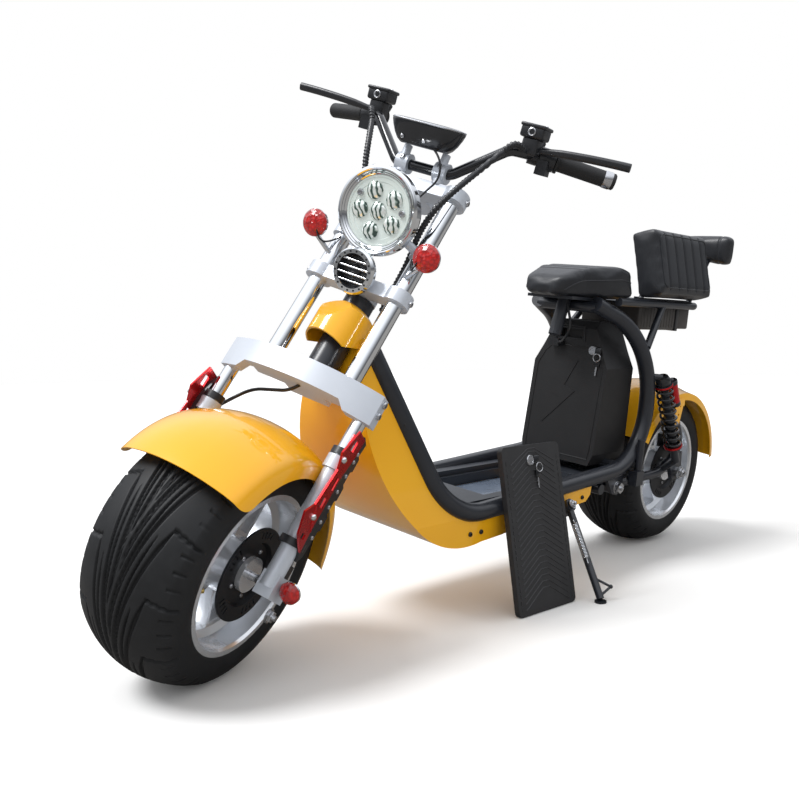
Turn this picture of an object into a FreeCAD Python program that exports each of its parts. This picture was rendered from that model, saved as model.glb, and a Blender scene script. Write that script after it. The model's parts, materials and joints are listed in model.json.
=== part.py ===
# Electric chopper scooter, parked on its side stand with the front wheel turned to its left stop.
# Everything is drawn upright and straight ahead first: X to the rider's left, Y to the back, Z up,
# with the rear axle above the origin. The fork, and what surrounds it, is drawn about the steering
# axis as (x, f, s): sideways, forward of the axis and up along it. The last section turns the
# steering, leans the scooter on its stand and moves it to the part's own frame.
import FreeCAD, Part
import math
import os

V = FreeCAD.Vector
X_AXIS = V(1, 0, 0)
Y_AXIS = V(0, 1, 0)
Z_AXIS = V(0, 0, 1)

# Stance
WHEELBASE = 1556.0
RAKE = 34.2
TRAIL = 140.0
LEAN = 7.0
STEER_STOP = 23.0
ORIGIN = V(150.0, 15.0 - WHEELBASE / 2, 0.0)
RUNNING_CLEARANCE = 0.3

# Wheels, both alike
BARREL_RADIUS = 147.0
LIP_HEIGHT = 19.0
WELL_DEPTH = 13.0
WELL_WIDTH = 96.0
RIM_WIDTH = 204.0
RIM_WALL = 4.0
TYRE_SECTION = 91.0
TYRE_WIDTH = 215.0
TYRE_CROWN = 180.0
TYRE_SHOULDER_HALF = 92.0
TYRE_SHOULDER_DROP = 25.3
TYRE_WALL = 12.0
TYRE_RADIUS = BARREL_RADIUS + TYRE_SECTION
SPOKE_COUNT = 5
SPOKE_WIDTH = 46.0
SPOKE_DEPTH = 84.0
SPOKE_RIB = 8.0
SPOKE_POCKET = 16.0
HUB_RADIUS = 54.0
HUB_WIDTH = 150.0
NOSE_RADIUS = 33.5
DISC_RADIUS = 90.0
DISC_THICK = 4.0
DISC_PLANE = 96.0
DISC_RING = 28.0
DISC_GRIP = 16.0
DISC_SLOT = (4.0, 13.0)
SLOT_GROUPS = 5
SLOTS_PER_GROUP = 4
SLOT_STEP = 8.0
AXLE_RADIUS = 8.0
NUT_RADIUS = 15.0
NUT_THICK = 12.0

# Fork
TUBE_SPACING = 91.0
TUBE_OFFSET = 36.0
TUBE_RADIUS = 18.0
LEG_SPACING = 151.0
LEG_OFFSET = 42.0
STANCHION_RADIUS = 14.0
SLIDER_RADIUS = 17.5
SLIDER_TOP = 530.0
COLLAR_RADIUS = 22.0
COLLAR_HEIGHT = 26.0
WHEEL_OFFSET = 18.0
LOWER_CLAMP_S = 853.0
UPPER_CLAMP_S = 1105.0
CLAMP_THICK = 28.0
CLAMP_LUG_RADIUS = 29.0
STEM_RADIUS = 20.0
ARCH_S = 645.0
ARCH_HEIGHT = 46.0
ARCH_DEPTH = 38.0
ARCH_BOW = 52.0
ARCH_LUG = 24.0
ARCH_DROP = 16.0
ARCH_PLATE = 18.0
AXLE_BLOCK = 44.0

# Leg guards, red plates with a black rail behind them
GUARD_THICK = 4.0
GUARD_X = LEG_SPACING + COLLAR_RADIUS
GUARD_RING_S = (SLIDER_TOP + 2.0, SLIDER_TOP - 180.0)
GUARD_RING_HEIGHT = 14.0

# Fenders
FENDER_CLEARANCE = 28.0
FENDER_CROWN_RADIUS = TYRE_RADIUS + FENDER_CLEARANCE
FENDER_SKIRT = 38.0
FENDER_SIDE_GAP = 0.3
FENDER_HALF_WIDTH = LEG_SPACING - SLIDER_RADIUS - FENDER_SIDE_GAP
FENDER_SHOULDER_HALF = 96.0
FENDER_SHOULDER_DROP = 18.0
FENDER_WALL = 3.0
FRONT_FENDER = (42.0, 104.0, 0.0)
REAR_FENDER = (62.0, 84.0, 20.0)

# Cockpit
LAMP_RADIUS = 88.0
LAMP_DEPTH = 84.0
LAMP_LENS_RADIUS = 70.0
LAMP_BOWL = 20.0
LAMP_OFFSET = 122.0
LAMP_S = 994.0
LED_RADIUS = 13.0
LED_RING = 40.0
LED_COUNT = 5
HORN_RADIUS = 46.5
HORN_DEPTH = 40.0
HORN_OFFSET = 90.0
HORN_S = 869.0
HORN_BARS = 4
MARKER_RADIUS = 28.0
MARKER_DEPTH = 24.0
MARKER_X = 130.0
MARKER_OFFSET = 99.0
MARKER_S = 939.0
AXLE_MARKER_X = 190.0
AXLE_MARKER_RADIUS = 20.0
BAR_RADIUS = 11.1
BAR_HALF = 345.0
BAR_BEND = 30.0
GRIP_RADIUS = 17.0
GRIP_LENGTH = 122.0
POD_WIDTH = 34.0
PERCH_WIDTH = 20.0
RISER_SPACING = 45.0
METER_HALF_WIDTH = 80.0
METER_THICK = 34.0
MIRROR_BOSS_RADIUS = 9.0
MIRROR_BORE_RADIUS = 4.0
MIRROR_BORE_DEPTH = 16.0
CABLE_RADIUS = 7.0
HOSE_RADIUS = 4.0

# Frame, with its front end placed behind the front axle and its rear end before the rear axle
RAIL_RADIUS = 21.0
RAIL_X = 150.0
NECK_RAIL_X = 62.0
RAIL_BOTTOM_Z = 254.0
RAIL_NECK_Z = 616.0
RAIL_REAR_Y = -258.0
RAIL_BEND = 170.0
RAIL_SHOULDER_BEND = 240.0
HEAD_TUBE_RADIUS = 32.0
COWL_RADIUS = 58.0
COWL_OFFSET = 8.0
PANEL_WALL = 4.0
PANEL_PROUD = 4.0
HULL_REAR = 612.0
DECK_FRONT = 546.0
DECK_REAR_Y = -412.0
DECK_TOP_Z = 278.0
DECK_DEPTH = 40.0
DECK_THICK = 6.0
HATCH_WIDTH = 200.0
HATCH_FRONT_MARGIN = 126.0
HATCH_REAR_MARGIN = 91.0
HATCH_GAP = 2.0
HATCH_LEDGE = 8.0
BATTERY_TOP_Z = 238.0
BATTERY_REAR_MARGIN = 34.0
LID_THICK = 14.0
LID_CORNER = 12.0
LID_FRONT_Y = -900.0
LID_TURN = -4.0
LID_LEAN = 8.5
CASE_HALF_WIDTH = 116.0
CASE_FOOT_Z = 300.0
CASE_TOP_Z = 680.0
CASE_LIP = 1.5

# Seats
SEAT_Z = 736.0
SADDLE_HALF_WIDTH = 122.0
RACK_HALF_WIDTH = 120.0
RACK_REAR_Y = 30.0
RACK_TUBE_RADIUS = 11.0
PAD_HINGE_X = 97.0
PAD_SIZE = (74.0, 300.0, 182.0)
PAD_REST = -14.0
PAD_REAR_GAP = 18.0
PAD_PIN_RADIUS = 4.0
BACKREST_HALF_WIDTH = 150.0

# Rear end
ARM_X = 128.0
ARM_RADIUS = 13.0
PIVOT_Y = -377.0
PIVOT_Z = 242.0
PIVOT_RADIUS = 8.0
SHOCK_X = 172.0
SPRING_RADIUS = 25.0
DAMPER_RADIUS = 12.0
SPRING_COILS = 9

# Side stand
STAND_PIVOT = V(172.0, -633.0, 232.0)
STAND_SPLAY = 36.5
STAND_PARKED = -9.0
STAND_RADIUS = 9.0
STAND_EYE_RADIUS = 16.0
STAND_PIN_RADIUS = 6.0

rake = math.radians(RAKE)
lean = math.radians(LEAN)
steer = math.radians(STEER_STOP)
# The steering axis meets the ground ahead of the front wheel by the trail.
AXIS_FOOT = V(0, -WHEELBASE - TRAIL, 0)


def fork_length():
    """Where the front axle lies along the steering axis, so that both parked tyres touch the ground."""
    tilt = math.cos(steer) * math.sin(lean) + math.sin(steer) * math.sin(rake) * math.cos(lean)
    ring = (TYRE_RADIUS - TYRE_CROWN) * math.sqrt(1 - tilt ** 2)
    height = ring + TYRE_CROWN - TYRE_CROWN * (1 - math.cos(lean))
    sideways = WHEEL_OFFSET * math.sin(steer) * math.sin(lean)
    forward = WHEEL_OFFSET * math.cos(steer) * math.sin(rake) * math.cos(lean)
    return (height + sideways - forward) / (math.cos(rake) * math.cos(lean))


AXLE_S = fork_length()


def face_of(points):
    return Part.Face(Part.makePolygon([V(*p) for p in points] + [V(*points[0])]))


def cylinder(radius, length, start, direction):
    return Part.makeCylinder(radius, length, start, direction)


def rod(a, b, radius):
    return Part.makeCylinder(radius, (b - a).Length, a, b - a)


def box(low, high):
    return Part.makeBox(high[0] - low[0], high[1] - low[1], high[2] - low[2], V(*low))


def nut(start, direction):
    """A hexagon nut standing on a face."""
    corners = [(NUT_RADIUS * math.cos(math.pi / 3 * n), NUT_RADIUS * math.sin(math.pi / 3 * n), 0)
               for n in range(6)]
    block = face_of(corners).extrude(V(0, 0, NUT_THICK))
    block.Placement = FreeCAD.Placement(start, FreeCAD.Rotation(Z_AXIS, direction))
    return block


def spun(profile, angle=360.0):
    """A solid of revolution from (x, r) points, spun about the X axis."""
    return face_of([(x, 0, r) for x, r in profile]).revolve(V(0, 0, 0), X_AXIS, angle)


def prism(points, low_x, high_x):
    """A plate from (y, z) points, standing across X."""
    return face_of([(low_x, y, z) for y, z in points]).extrude(V(high_x - low_x, 0, 0))


def slab(points, low_y, high_y):
    """A plate from (x, z) points, standing across Y."""
    return face_of([(x, low_y, z) for x, z in points]).extrude(V(0, high_y - low_y, 0))


def bent_path(points, bends):
    """Straight runs joined by tangent arcs, one bend radius for each inner point."""
    edges = []
    start = points[0]
    for before, corner, after, radius in zip(points, points[1:], points[2:], bends):
        into = (corner - before).normalize()
        out = (after - corner).normalize()
        turn = into.getAngle(out)
        reach = radius * math.tan(turn / 2)
        first = corner - into * reach
        last = corner + out * reach
        middle = corner + (out - into).normalize() * (radius / math.cos(turn / 2) - radius)
        edges.append(Part.LineSegment(start, first).toShape())
        edges.append(Part.Arc(first, middle, last).toShape())
        start = last
    edges.append(Part.LineSegment(start, points[-1]).toShape())
    return Part.Wire(edges)


def pipe(points, bends, radius):
    path = bent_path(points, bends)
    ring = Part.Wire([Part.makeCircle(radius, points[0], points[1] - points[0])])
    return path.makePipeShell([ring], True, False)


def cable(points, radius):
    """A flexible cable, whose arcs are as large as its runs allow."""
    bends = []
    for before, corner, after in zip(points, points[1:], points[2:]):
        turn = (corner - before).getAngle(after - corner)
        run = min((corner - before).Length, (after - corner).Length)
        bends.append(0.45 * run / math.tan(turn / 2))
    return pipe(points, bends, radius)


def both(shape):
    """The shape and its mirror image on the other side."""
    return [shape, shape.mirror(V(0, 0, 0), X_AXIS)]


def fused(shapes):
    first, rest = shapes[0], shapes[1:]
    return first.multiFuse(rest).removeSplitter() if rest else first


def at_fork(x, f, s):
    return V(x, -f, s)


def behind_axle(distance):
    """The Y of a place that lies behind the front axle."""
    return distance - WHEELBASE


def put(shape, place, axis=Z_AXIS, angle=0.0):
    """A copy that is turned about the origin, on top of any turn it has, and then moved."""
    moved = shape.copy()
    moved.Placement = FreeCAD.Placement(place, FreeCAD.Rotation(axis, angle)).multiply(shape.Placement)
    return moved


def level(shape, x, f, s):
    """Stands a shape that is drawn level, facing -Y, at a place on the fork."""
    return put(shape, at_fork(x, f, s), X_AXIS, RAKE)


def raked(shape):
    """Carries a shape drawn about the steering axis over to the frame."""
    return put(shape, AXIS_FOOT, X_AXIS, -RAKE)


def facing(shape):
    """Turns a shape spun about X so that it looks along -Y."""
    return put(shape, V(0, 0, 0), Z_AXIS, 90)


parts = {}


def add(name, body, shape, seats=()):
    """Keeps a piece, cut round the pieces of its own body that it is seated or welded on."""
    if seats:
        shape = shape.cut([parts[seat][1] for seat in seats])
    parts[name] = (body, shape)


def tyre():
    """A broad, almost flat tread on two bulging walls, hollow inside."""
    half = TYRE_WIDTH / 2
    bead = RIM_WIDTH / 2 - RIM_WALL

    def corners(inset, bead_half):
        shoulder_r = TYRE_RADIUS - TYRE_SHOULDER_DROP - inset
        wall_r = (TYRE_RADIUS - TYRE_SHOULDER_DROP + BARREL_RADIUS) / 2
        return (V(0, 0, TYRE_RADIUS - inset), V(TYRE_SHOULDER_HALF - inset / 2, 0, shoulder_r),
                V(half - inset, 0, wall_r), V(bead_half, 0, BARREL_RADIUS + RIM_WALL))

    def mirrored(p):
        return V(-p.x, p.y, p.z)

    top, shoulder, wall, foot = corners(0, bead)
    low_top, low_shoulder, low_wall, low_foot = corners(TYRE_WALL, bead - TYRE_WALL)
    edges = [
        Part.Arc(mirrored(shoulder), top, shoulder).toShape(),
        Part.Arc(shoulder, wall, foot).toShape(),
        Part.LineSegment(foot, low_foot).toShape(),
        Part.Arc(low_foot, low_wall, low_shoulder).toShape(),
        Part.Arc(low_shoulder, low_top, mirrored(low_shoulder)).toShape(),
        Part.Arc(mirrored(low_shoulder), mirrored(low_wall), mirrored(low_foot)).toShape(),
        Part.LineSegment(mirrored(low_foot), mirrored(foot)).toShape(),
        Part.Arc(mirrored(foot), mirrored(wall), mirrored(shoulder)).toShape(),
    ]
    return Part.Face(Part.Wire(edges)).revolve(V(0, 0, 0), X_AXIS, 360)


def rim():
    """A polished barrel with a drop well, carried by deep cast spokes that are pocketed on both faces."""
    half = RIM_WIDTH / 2
    well = WELL_WIDTH / 2
    lip = BARREL_RADIUS + LIP_HEIGHT
    floor = BARREL_RADIUS - WELL_DEPTH
    outer = [(half, lip), (half - RIM_WALL, lip), (half - RIM_WALL - 2, BARREL_RADIUS),
             (well + 8, BARREL_RADIUS), (well, floor)]
    inner = [(well - 2, floor - RIM_WALL), (well + 6, BARREL_RADIUS - RIM_WALL),
             (half - RIM_WALL - 2, BARREL_RADIUS - RIM_WALL), (half, BARREL_RADIUS - 1)]
    profile = outer + [(-x, r) for x, r in reversed(outer)]
    profile += [(-x, r) for x, r in reversed(inner)] + inner
    deep = SPOKE_DEPTH / 2
    wide = SPOKE_WIDTH / 2
    spoke = box((-deep, -wide, HUB_RADIUS - 6), (deep, wide, floor - RIM_WALL / 2))
    pocket_low = HUB_RADIUS + SPOKE_RIB
    pocket_high = floor - RIM_WALL - SPOKE_RIB
    for low in (-deep - 1, deep - SPOKE_POCKET):
        spoke = spoke.cut(box((low, SPOKE_RIB - wide, pocket_low),
                              (low + SPOKE_POCKET + 1, wide - SPOKE_RIB, pocket_high)))
    spokes = []
    for n in range(SPOKE_COUNT):
        turned = spoke.copy()
        turned.rotate(V(0, 0, 0), X_AXIS, 360 / SPOKE_COUNT * n)
        spokes.append(turned)
    hub = cylinder(HUB_RADIUS, HUB_WIDTH, V(-HUB_WIDTH / 2, 0, 0), X_AXIS)
    nose_half = DISC_PLANE + DISC_THICK
    nose = cylinder(NOSE_RADIUS, 2 * nose_half, V(-nose_half, 0, 0), X_AXIS)
    bore = cylinder(AXLE_RADIUS + RUNNING_CLEARANCE, 2 * RIM_WIDTH, V(-RIM_WIDTH, 0, 0), X_AXIS)
    return fused([spun(profile), hub, nose] + spokes).cut(bore)


def brake_disc():
    """A slotted braking ring on a dished carrier that is bolted to the hub's left nose."""
    face = DISC_PLANE + DISC_THICK / 2
    ring_low = DISC_RADIUS - DISC_RING
    disc = spun([(face, DISC_RADIUS), (face, ring_low), (face - 2 * DISC_THICK, ring_low - DISC_THICK),
                 (face - 2 * DISC_THICK, NOSE_RADIUS), (face - 3 * DISC_THICK, NOSE_RADIUS),
                 (face - 3 * DISC_THICK, ring_low), (face - DISC_THICK, ring_low + DISC_THICK),
                 (face - DISC_THICK, DISC_RADIUS)])
    wide, long = DISC_SLOT
    middle = DISC_RADIUS - DISC_RING / 2
    slots = []
    for group in range(SLOT_GROUPS):
        for n in range(SLOTS_PER_GROUP):
            slot = box((face - 2 * DISC_THICK, -wide / 2, middle - long / 2),
                       (face + 1, wide / 2, middle + long / 2))
            slot.rotate(V(0, 0, 0), X_AXIS, 360 / SLOT_GROUPS * group + SLOT_STEP * n)
            slots.append(slot)
    return disc.cut(slots)


def build_wheels():
    for end in ("front", "rear"):
        add(end + "_rim", end + "_wheel", rim())
        add(end + "_tyre", end + "_wheel", tyre(), [end + "_rim"])
        add(end + "_disc", end + "_wheel", brake_disc(), [end + "_rim"])


def fender(ahead, behind, skirt_lift):
    """A curved hood about a wheel centred at the origin, from ahead of its top to behind, in degrees."""
    crown = FENDER_CROWN_RADIUS
    skirt = TYRE_RADIUS - FENDER_SKIRT + skirt_lift
    hip = skirt + (crown - skirt) * 0.45

    def section(inset):
        half = FENDER_HALF_WIDTH - inset
        shoulder = crown - FENDER_SHOULDER_DROP - inset * 0.7
        points = [(-half, skirt), (4 - half, hip), (-FENDER_SHOULDER_HALF, shoulder), (0, crown - inset),
                  (FENDER_SHOULDER_HALF, shoulder), (half - 4, hip), (half, skirt)]
        return [V(x, 0, r) for x, r in points]

    def skin(p):
        return [Part.LineSegment(p[0], p[1]).toShape(), Part.LineSegment(p[1], p[2]).toShape(),
                Part.Arc(p[2], p[3], p[4]).toShape(),
                Part.LineSegment(p[4], p[5]).toShape(), Part.LineSegment(p[5], p[6]).toShape()]

    outer, inner = section(0), section(FENDER_WALL)
    right_edge = Part.LineSegment(outer[-1], inner[-1]).toShape()
    left_edge = Part.LineSegment(inner[0], outer[0]).toShape()
    wire = Part.Wire(skin(outer) + [right_edge] + skin(inner)[::-1] + [left_edge])
    hood = Part.Face(wire).revolve(V(0, 0, 0), X_AXIS, ahead + behind)
    # Spinning about +X carries the top towards the front of the scooter.
    hood.rotate(V(0, 0, 0), X_AXIS, -behind)
    return hood


def clamp(s):
    """A cast yoke plate with a lug round each upper tube and a boss on the steering stem."""
    lugs = both(cylinder(CLAMP_LUG_RADIUS, CLAMP_THICK, at_fork(TUBE_SPACING, TUBE_OFFSET, s), Z_AXIS))
    boss = cylinder(STEM_RADIUS + 13, CLAMP_THICK, at_fork(0, 0, s), Z_AXIS)
    bridge = box((-TUBE_SPACING, -TUBE_OFFSET - 22, s), (TUBE_SPACING, 16 - TUBE_OFFSET, s + CLAMP_THICK))
    web = box((-STEM_RADIUS, -TUBE_OFFSET, s), (STEM_RADIUS, 0, s + CLAMP_THICK))
    holes = both(cylinder(TUBE_RADIUS, CLAMP_THICK + 2, at_fork(TUBE_SPACING, TUBE_OFFSET, s - 1), Z_AXIS))
    return fused(lugs + [boss, bridge, web]).cut(holes)


def arch():
    """The bowed lower yoke: a band that thickens into a foot round each leg, on a plate and stem."""
    low = ARCH_S - ARCH_HEIGHT / 2
    end = LEG_SPACING + ARCH_LUG
    front_y = -LEG_OFFSET - 8
    back_y = ARCH_DEPTH / 2 - LEG_OFFSET
    foot = low - ARCH_DROP
    corners = [V(-end, front_y, foot), V(0, front_y - ARCH_BOW, foot), V(end, front_y, foot),
               V(end, back_y, foot), V(0, back_y - ARCH_BOW, foot), V(-end, back_y, foot)]
    outline = Part.Wire([Part.Arc(*corners[0:3]).toShape(),
                         Part.LineSegment(corners[2], corners[3]).toShape(),
                         Part.Arc(*corners[3:6]).toShape(),
                         Part.LineSegment(corners[5], corners[0]).toShape()])
    band = Part.Face(outline).extrude(V(0, 0, ARCH_HEIGHT + ARCH_DROP))
    foot_half = LEG_SPACING - STANCHION_RADIUS - 12
    under = slab([(-foot_half, foot - 1), (ARCH_DROP - foot_half, low), (foot_half - ARCH_DROP, low),
                  (foot_half, foot - 1)], -200, 200)
    reach = TUBE_SPACING + TUBE_RADIUS + 4
    plate_low = low + 6
    plate_high = plate_low + ARCH_PLATE
    plate = box((-reach, -TUBE_OFFSET - TUBE_RADIUS - 14, plate_low),
                (reach, TUBE_RADIUS + 4 - TUBE_OFFSET, plate_high))
    web = box((-46, -TUBE_OFFSET, plate_low), (46, STEM_RADIUS + 5, plate_high))
    stem = rod(at_fork(0, 0, plate_low), at_fork(0, 0, LOWER_CLAMP_S), STEM_RADIUS)
    return fused([band.cut(under), plate, web, stem])


def build_fork():
    add("fork_clamps", "fork", Part.Compound([clamp(LOWER_CLAMP_S), clamp(UPPER_CLAMP_S)]))
    plate_top = ARCH_S - ARCH_HEIGHT / 2 + 6 + ARCH_PLATE
    tube = rod(at_fork(TUBE_SPACING, TUBE_OFFSET, plate_top),
               at_fork(TUBE_SPACING, TUBE_OFFSET, UPPER_CLAMP_S + CLAMP_THICK + 3), TUBE_RADIUS)
    stanchion = rod(at_fork(LEG_SPACING, LEG_OFFSET, SLIDER_TOP),
                    at_fork(LEG_SPACING, LEG_OFFSET, ARCH_S), STANCHION_RADIUS)
    add("fork_tubes", "fork", Part.Compound(both(tube) + both(stanchion)))
    add("fork_arch", "fork", arch(), ["fork_tubes"])
    slider = rod(at_fork(LEG_SPACING, LEG_OFFSET, AXLE_S - 4), at_fork(LEG_SPACING, LEG_OFFSET, SLIDER_TOP),
                 SLIDER_RADIUS)
    collar = cylinder(COLLAR_RADIUS, COLLAR_HEIGHT,
                      at_fork(LEG_SPACING, LEG_OFFSET, SLIDER_TOP - COLLAR_HEIGHT), Z_AXIS)
    half = AXLE_BLOCK / 2
    block = box((LEG_SPACING - SLIDER_RADIUS, -LEG_OFFSET - 12, AXLE_S - half),
                (LEG_SPACING + SLIDER_RADIUS, half - WHEEL_OFFSET, AXLE_S + half))
    axle = cylinder(AXLE_RADIUS, 2 * LEG_SPACING + 50,
                    at_fork(-LEG_SPACING - 25, WHEEL_OFFSET, AXLE_S), X_AXIS)
    add("front_axle", "fork", axle)
    add("fork_sliders", "fork", Part.Compound(both(fused([slider, collar, block]))), ["front_axle"])
    add("front_fender", "fork", level(fender(*FRONT_FENDER), 0, WHEEL_OFFSET, AXLE_S))
    build_guards()
    build_front_brake()
    build_lamps()
    build_markers()
    build_bars()
    build_cables()


def build_guards():
    # (f, s) corners of the red plate, from its tip down its front edge and back up behind
    plate_outline = [(72, 584), (95, 531), (78, 503), (85, 456), (90, 429), (112, 408), (92, 369),
                     (49, 346), (53, 383), (51, 491), (40, 540), (36, 579)]
    # (f, s, wide, high) windows through the plate
    windows = [(66, 556, 14, 22), (62, 480, 10, 26), (68, 440, 12, 20), (72, 372, 16, 10)]
    plate = prism([(-f, s) for f, s in plate_outline], GUARD_X, GUARD_X + GUARD_THICK)
    for f, s, wide, high in windows:
        plate = plate.cut(box((GUARD_X - 1, -f - wide / 2, s - high / 2),
                              (GUARD_X + GUARD_THICK + 1, wide / 2 - f, s + high / 2)))
    add("leg_guards", "fork", Part.Compound(both(plate)))
    # (f, s) corners of the black rail, whose back edge steps in and out between its lugs
    rail_outline = [(52, 560), (34, 586), (14, 578), (18, 552), (10, 548), (10, 522), (18, 518),
                    (18, 492), (10, 488), (10, 462), (18, 458), (18, 430), (10, 426), (10, 400),
                    (18, 396), (22, 344), (34, 330), (60, 366), (60, 520)]
    rail = prism([(-f, s) for f, s in rail_outline], GUARD_X - 9, GUARD_X)
    pieces = [rail]
    for s, inner in zip(GUARD_RING_S, (STANCHION_RADIUS, SLIDER_RADIUS)):
        ring = cylinder(inner + 7, GUARD_RING_HEIGHT, at_fork(LEG_SPACING, LEG_OFFSET, s), Z_AXIS)
        bridge = box((LEG_SPACING, -LEG_OFFSET - 12, s), (GUARD_X - 4, 12 - LEG_OFFSET, s + GUARD_RING_HEIGHT))
        pieces += [ring, bridge]
    add("guard_rails", "fork", Part.Compound(both(fused(pieces))), ["fork_tubes", "fork_sliders", "leg_guards"])


def build_front_brake():
    """A caliper behind the left leg, whose slot straddles the disc."""
    inner = DISC_RADIUS - DISC_GRIP - WHEEL_OFFSET
    body = box((DISC_PLANE - 16, inner, AXLE_S - 6), (DISC_PLANE + 20, inner + 40, AXLE_S + 52))
    slot = box((DISC_PLANE - 7, 0, AXLE_S - 60), (DISC_PLANE + 7, inner + 30, AXLE_S + 60))
    arm = rod(at_fork(DISC_PLANE + 17, -inner - 8, AXLE_S + 30), at_fork(LEG_SPACING, LEG_OFFSET, AXLE_S + 44), 9)
    add("front_caliper", "fork", fused([body.cut(slot), arm]).cut(slot), ["fork_sliders"])


def build_lamps():
    lens = spun([(0, 0), (0, LAMP_LENS_RADIUS), (4, LAMP_LENS_RADIUS), (4, 0)])
    shell = spun([(0, LAMP_LENS_RADIUS), (-8, LAMP_RADIUS - 6), (-4, LAMP_RADIUS), (12, LAMP_RADIUS),
                  (24, LAMP_RADIUS - 4), (60, LAMP_RADIUS - 22), (LAMP_DEPTH, LAMP_RADIUS - 58),
                  (LAMP_DEPTH, 0), (LAMP_BOWL, 0), (LAMP_BOWL, LAMP_LENS_RADIUS - 6),
                  (4, LAMP_LENS_RADIUS)])
    domes = [Part.makeSphere(LED_RADIUS, V(LAMP_BOWL + 4, 0, 0))]
    for n in range(LED_COUNT):
        angle = 2 * math.pi * n / LED_COUNT
        domes.append(Part.makeSphere(LED_RADIUS, V(LAMP_BOWL + 4, LED_RING * math.sin(angle),
                                                   LED_RING * math.cos(angle))))
    ears = []
    for side in (-1, 1):
        band = cylinder(TUBE_RADIUS + 6, 22, at_fork(side * TUBE_SPACING, TUBE_OFFSET, LAMP_S - 34), Z_AXIS)
        ear = rod(at_fork(side * TUBE_SPACING, TUBE_OFFSET, LAMP_S - 23),
                  at_fork(side * 50, LAMP_OFFSET - 52, LAMP_S - 14), 9)
        ears.append(fused([band, ear]))
    add("headlight", "fork", level(facing(fused([shell] + domes)), 0, LAMP_OFFSET, LAMP_S))
    add("headlight_lens", "fork", level(facing(lens), 0, LAMP_OFFSET, LAMP_S))
    add("lamp_ears", "fork", Part.Compound(ears), ["fork_tubes", "headlight"])
    mouth = HORN_RADIUS - 12
    bell = spun([(0, mouth), (0, HORN_RADIUS - 4), (6, HORN_RADIUS), (14, HORN_RADIUS),
                 (HORN_DEPTH, HORN_RADIUS - 22), (HORN_DEPTH, 0), (16, 0), (16, mouth - 6)])
    bars = []
    for n in range(HORN_BARS):
        z = (n - (HORN_BARS - 1) / 2) * 2 * mouth / (HORN_BARS + 1)
        half = math.sqrt((mouth + 2) ** 2 - z ** 2)
        bars.append(rod(V(-half, 4, z), V(half, 4, z), 2))
    foot = box((-9, 20, -30), (9, HORN_DEPTH + 20, -18))
    add("horn", "fork", level(fused([facing(bell), foot] + bars), 0, HORN_OFFSET, HORN_S), ["fork_clamps"])


def marker(radius):
    return spun([(-MARKER_DEPTH * 0.3, 0), (-MARKER_DEPTH * 0.2, radius * 0.55), (0, radius * 0.85),
                 (4, radius), (8, radius), (8, 0)])


def marker_cup(radius):
    return spun([(8, 0), (8, radius), (12, radius), (MARKER_DEPTH, radius * 0.45), (MARKER_DEPTH, 0)])


def build_markers():
    lenses = []
    cups = []
    for side in (-1, 1):
        lenses.append(level(facing(marker(MARKER_RADIUS)), side * MARKER_X, MARKER_OFFSET, MARKER_S))
        cup = level(facing(marker_cup(MARKER_RADIUS)), side * MARKER_X, MARKER_OFFSET, MARKER_S)
        stalk = rod(at_fork(side * (MARKER_X - 6), MARKER_OFFSET - 16, MARKER_S - 12),
                    at_fork(side * TUBE_SPACING, TUBE_OFFSET + TUBE_RADIUS - 2, MARKER_S - 30), 5)
        cups.append(fused([cup, stalk]))
        low_f = WHEEL_OFFSET + 22
        lenses.append(level(facing(marker(AXLE_MARKER_RADIUS)), side * AXLE_MARKER_X, low_f, AXLE_S))
        cup = level(facing(marker_cup(AXLE_MARKER_RADIUS)), side * AXLE_MARKER_X, low_f, AXLE_S)
        stub = rod(at_fork(side * (LEG_SPACING + 16), low_f - 17, AXLE_S),
                   at_fork(side * AXLE_MARKER_X, low_f - 17, AXLE_S), 7)
        cups.append(fused([cup, stub]))
    add("marker_lenses", "fork", Part.Compound(lenses))
    add("marker_cups", "fork", Part.Compound(cups), ["fork_tubes", "fork_sliders", "front_axle", "marker_lenses"])


# (x, f, s) of the handlebar's left half, from its middle out to the tip
BAR_ROUTE = [(0, 55, 1160), (64, 55, 1160), (BAR_HALF - 187, 62, 1252), (BAR_HALF - 149, 12, 1290),
             (BAR_HALF, -46, 1318)]


def bar_point(n):
    return at_fork(*BAR_ROUTE[n])


def grip_run():
    return (bar_point(-2) - bar_point(-1)).normalize()


def along_grip(start, length, radius):
    """A collar round the straight end of the handlebar, measured back from its tip."""
    return cylinder(radius, length, bar_point(-1) + grip_run() * start, grip_run())


def by_grip(back, f, s):
    """A place beside the straight end of the handlebar, back from its tip and then forward and up."""
    return bar_point(-1) + grip_run() * back + at_fork(0, f, s)


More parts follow.
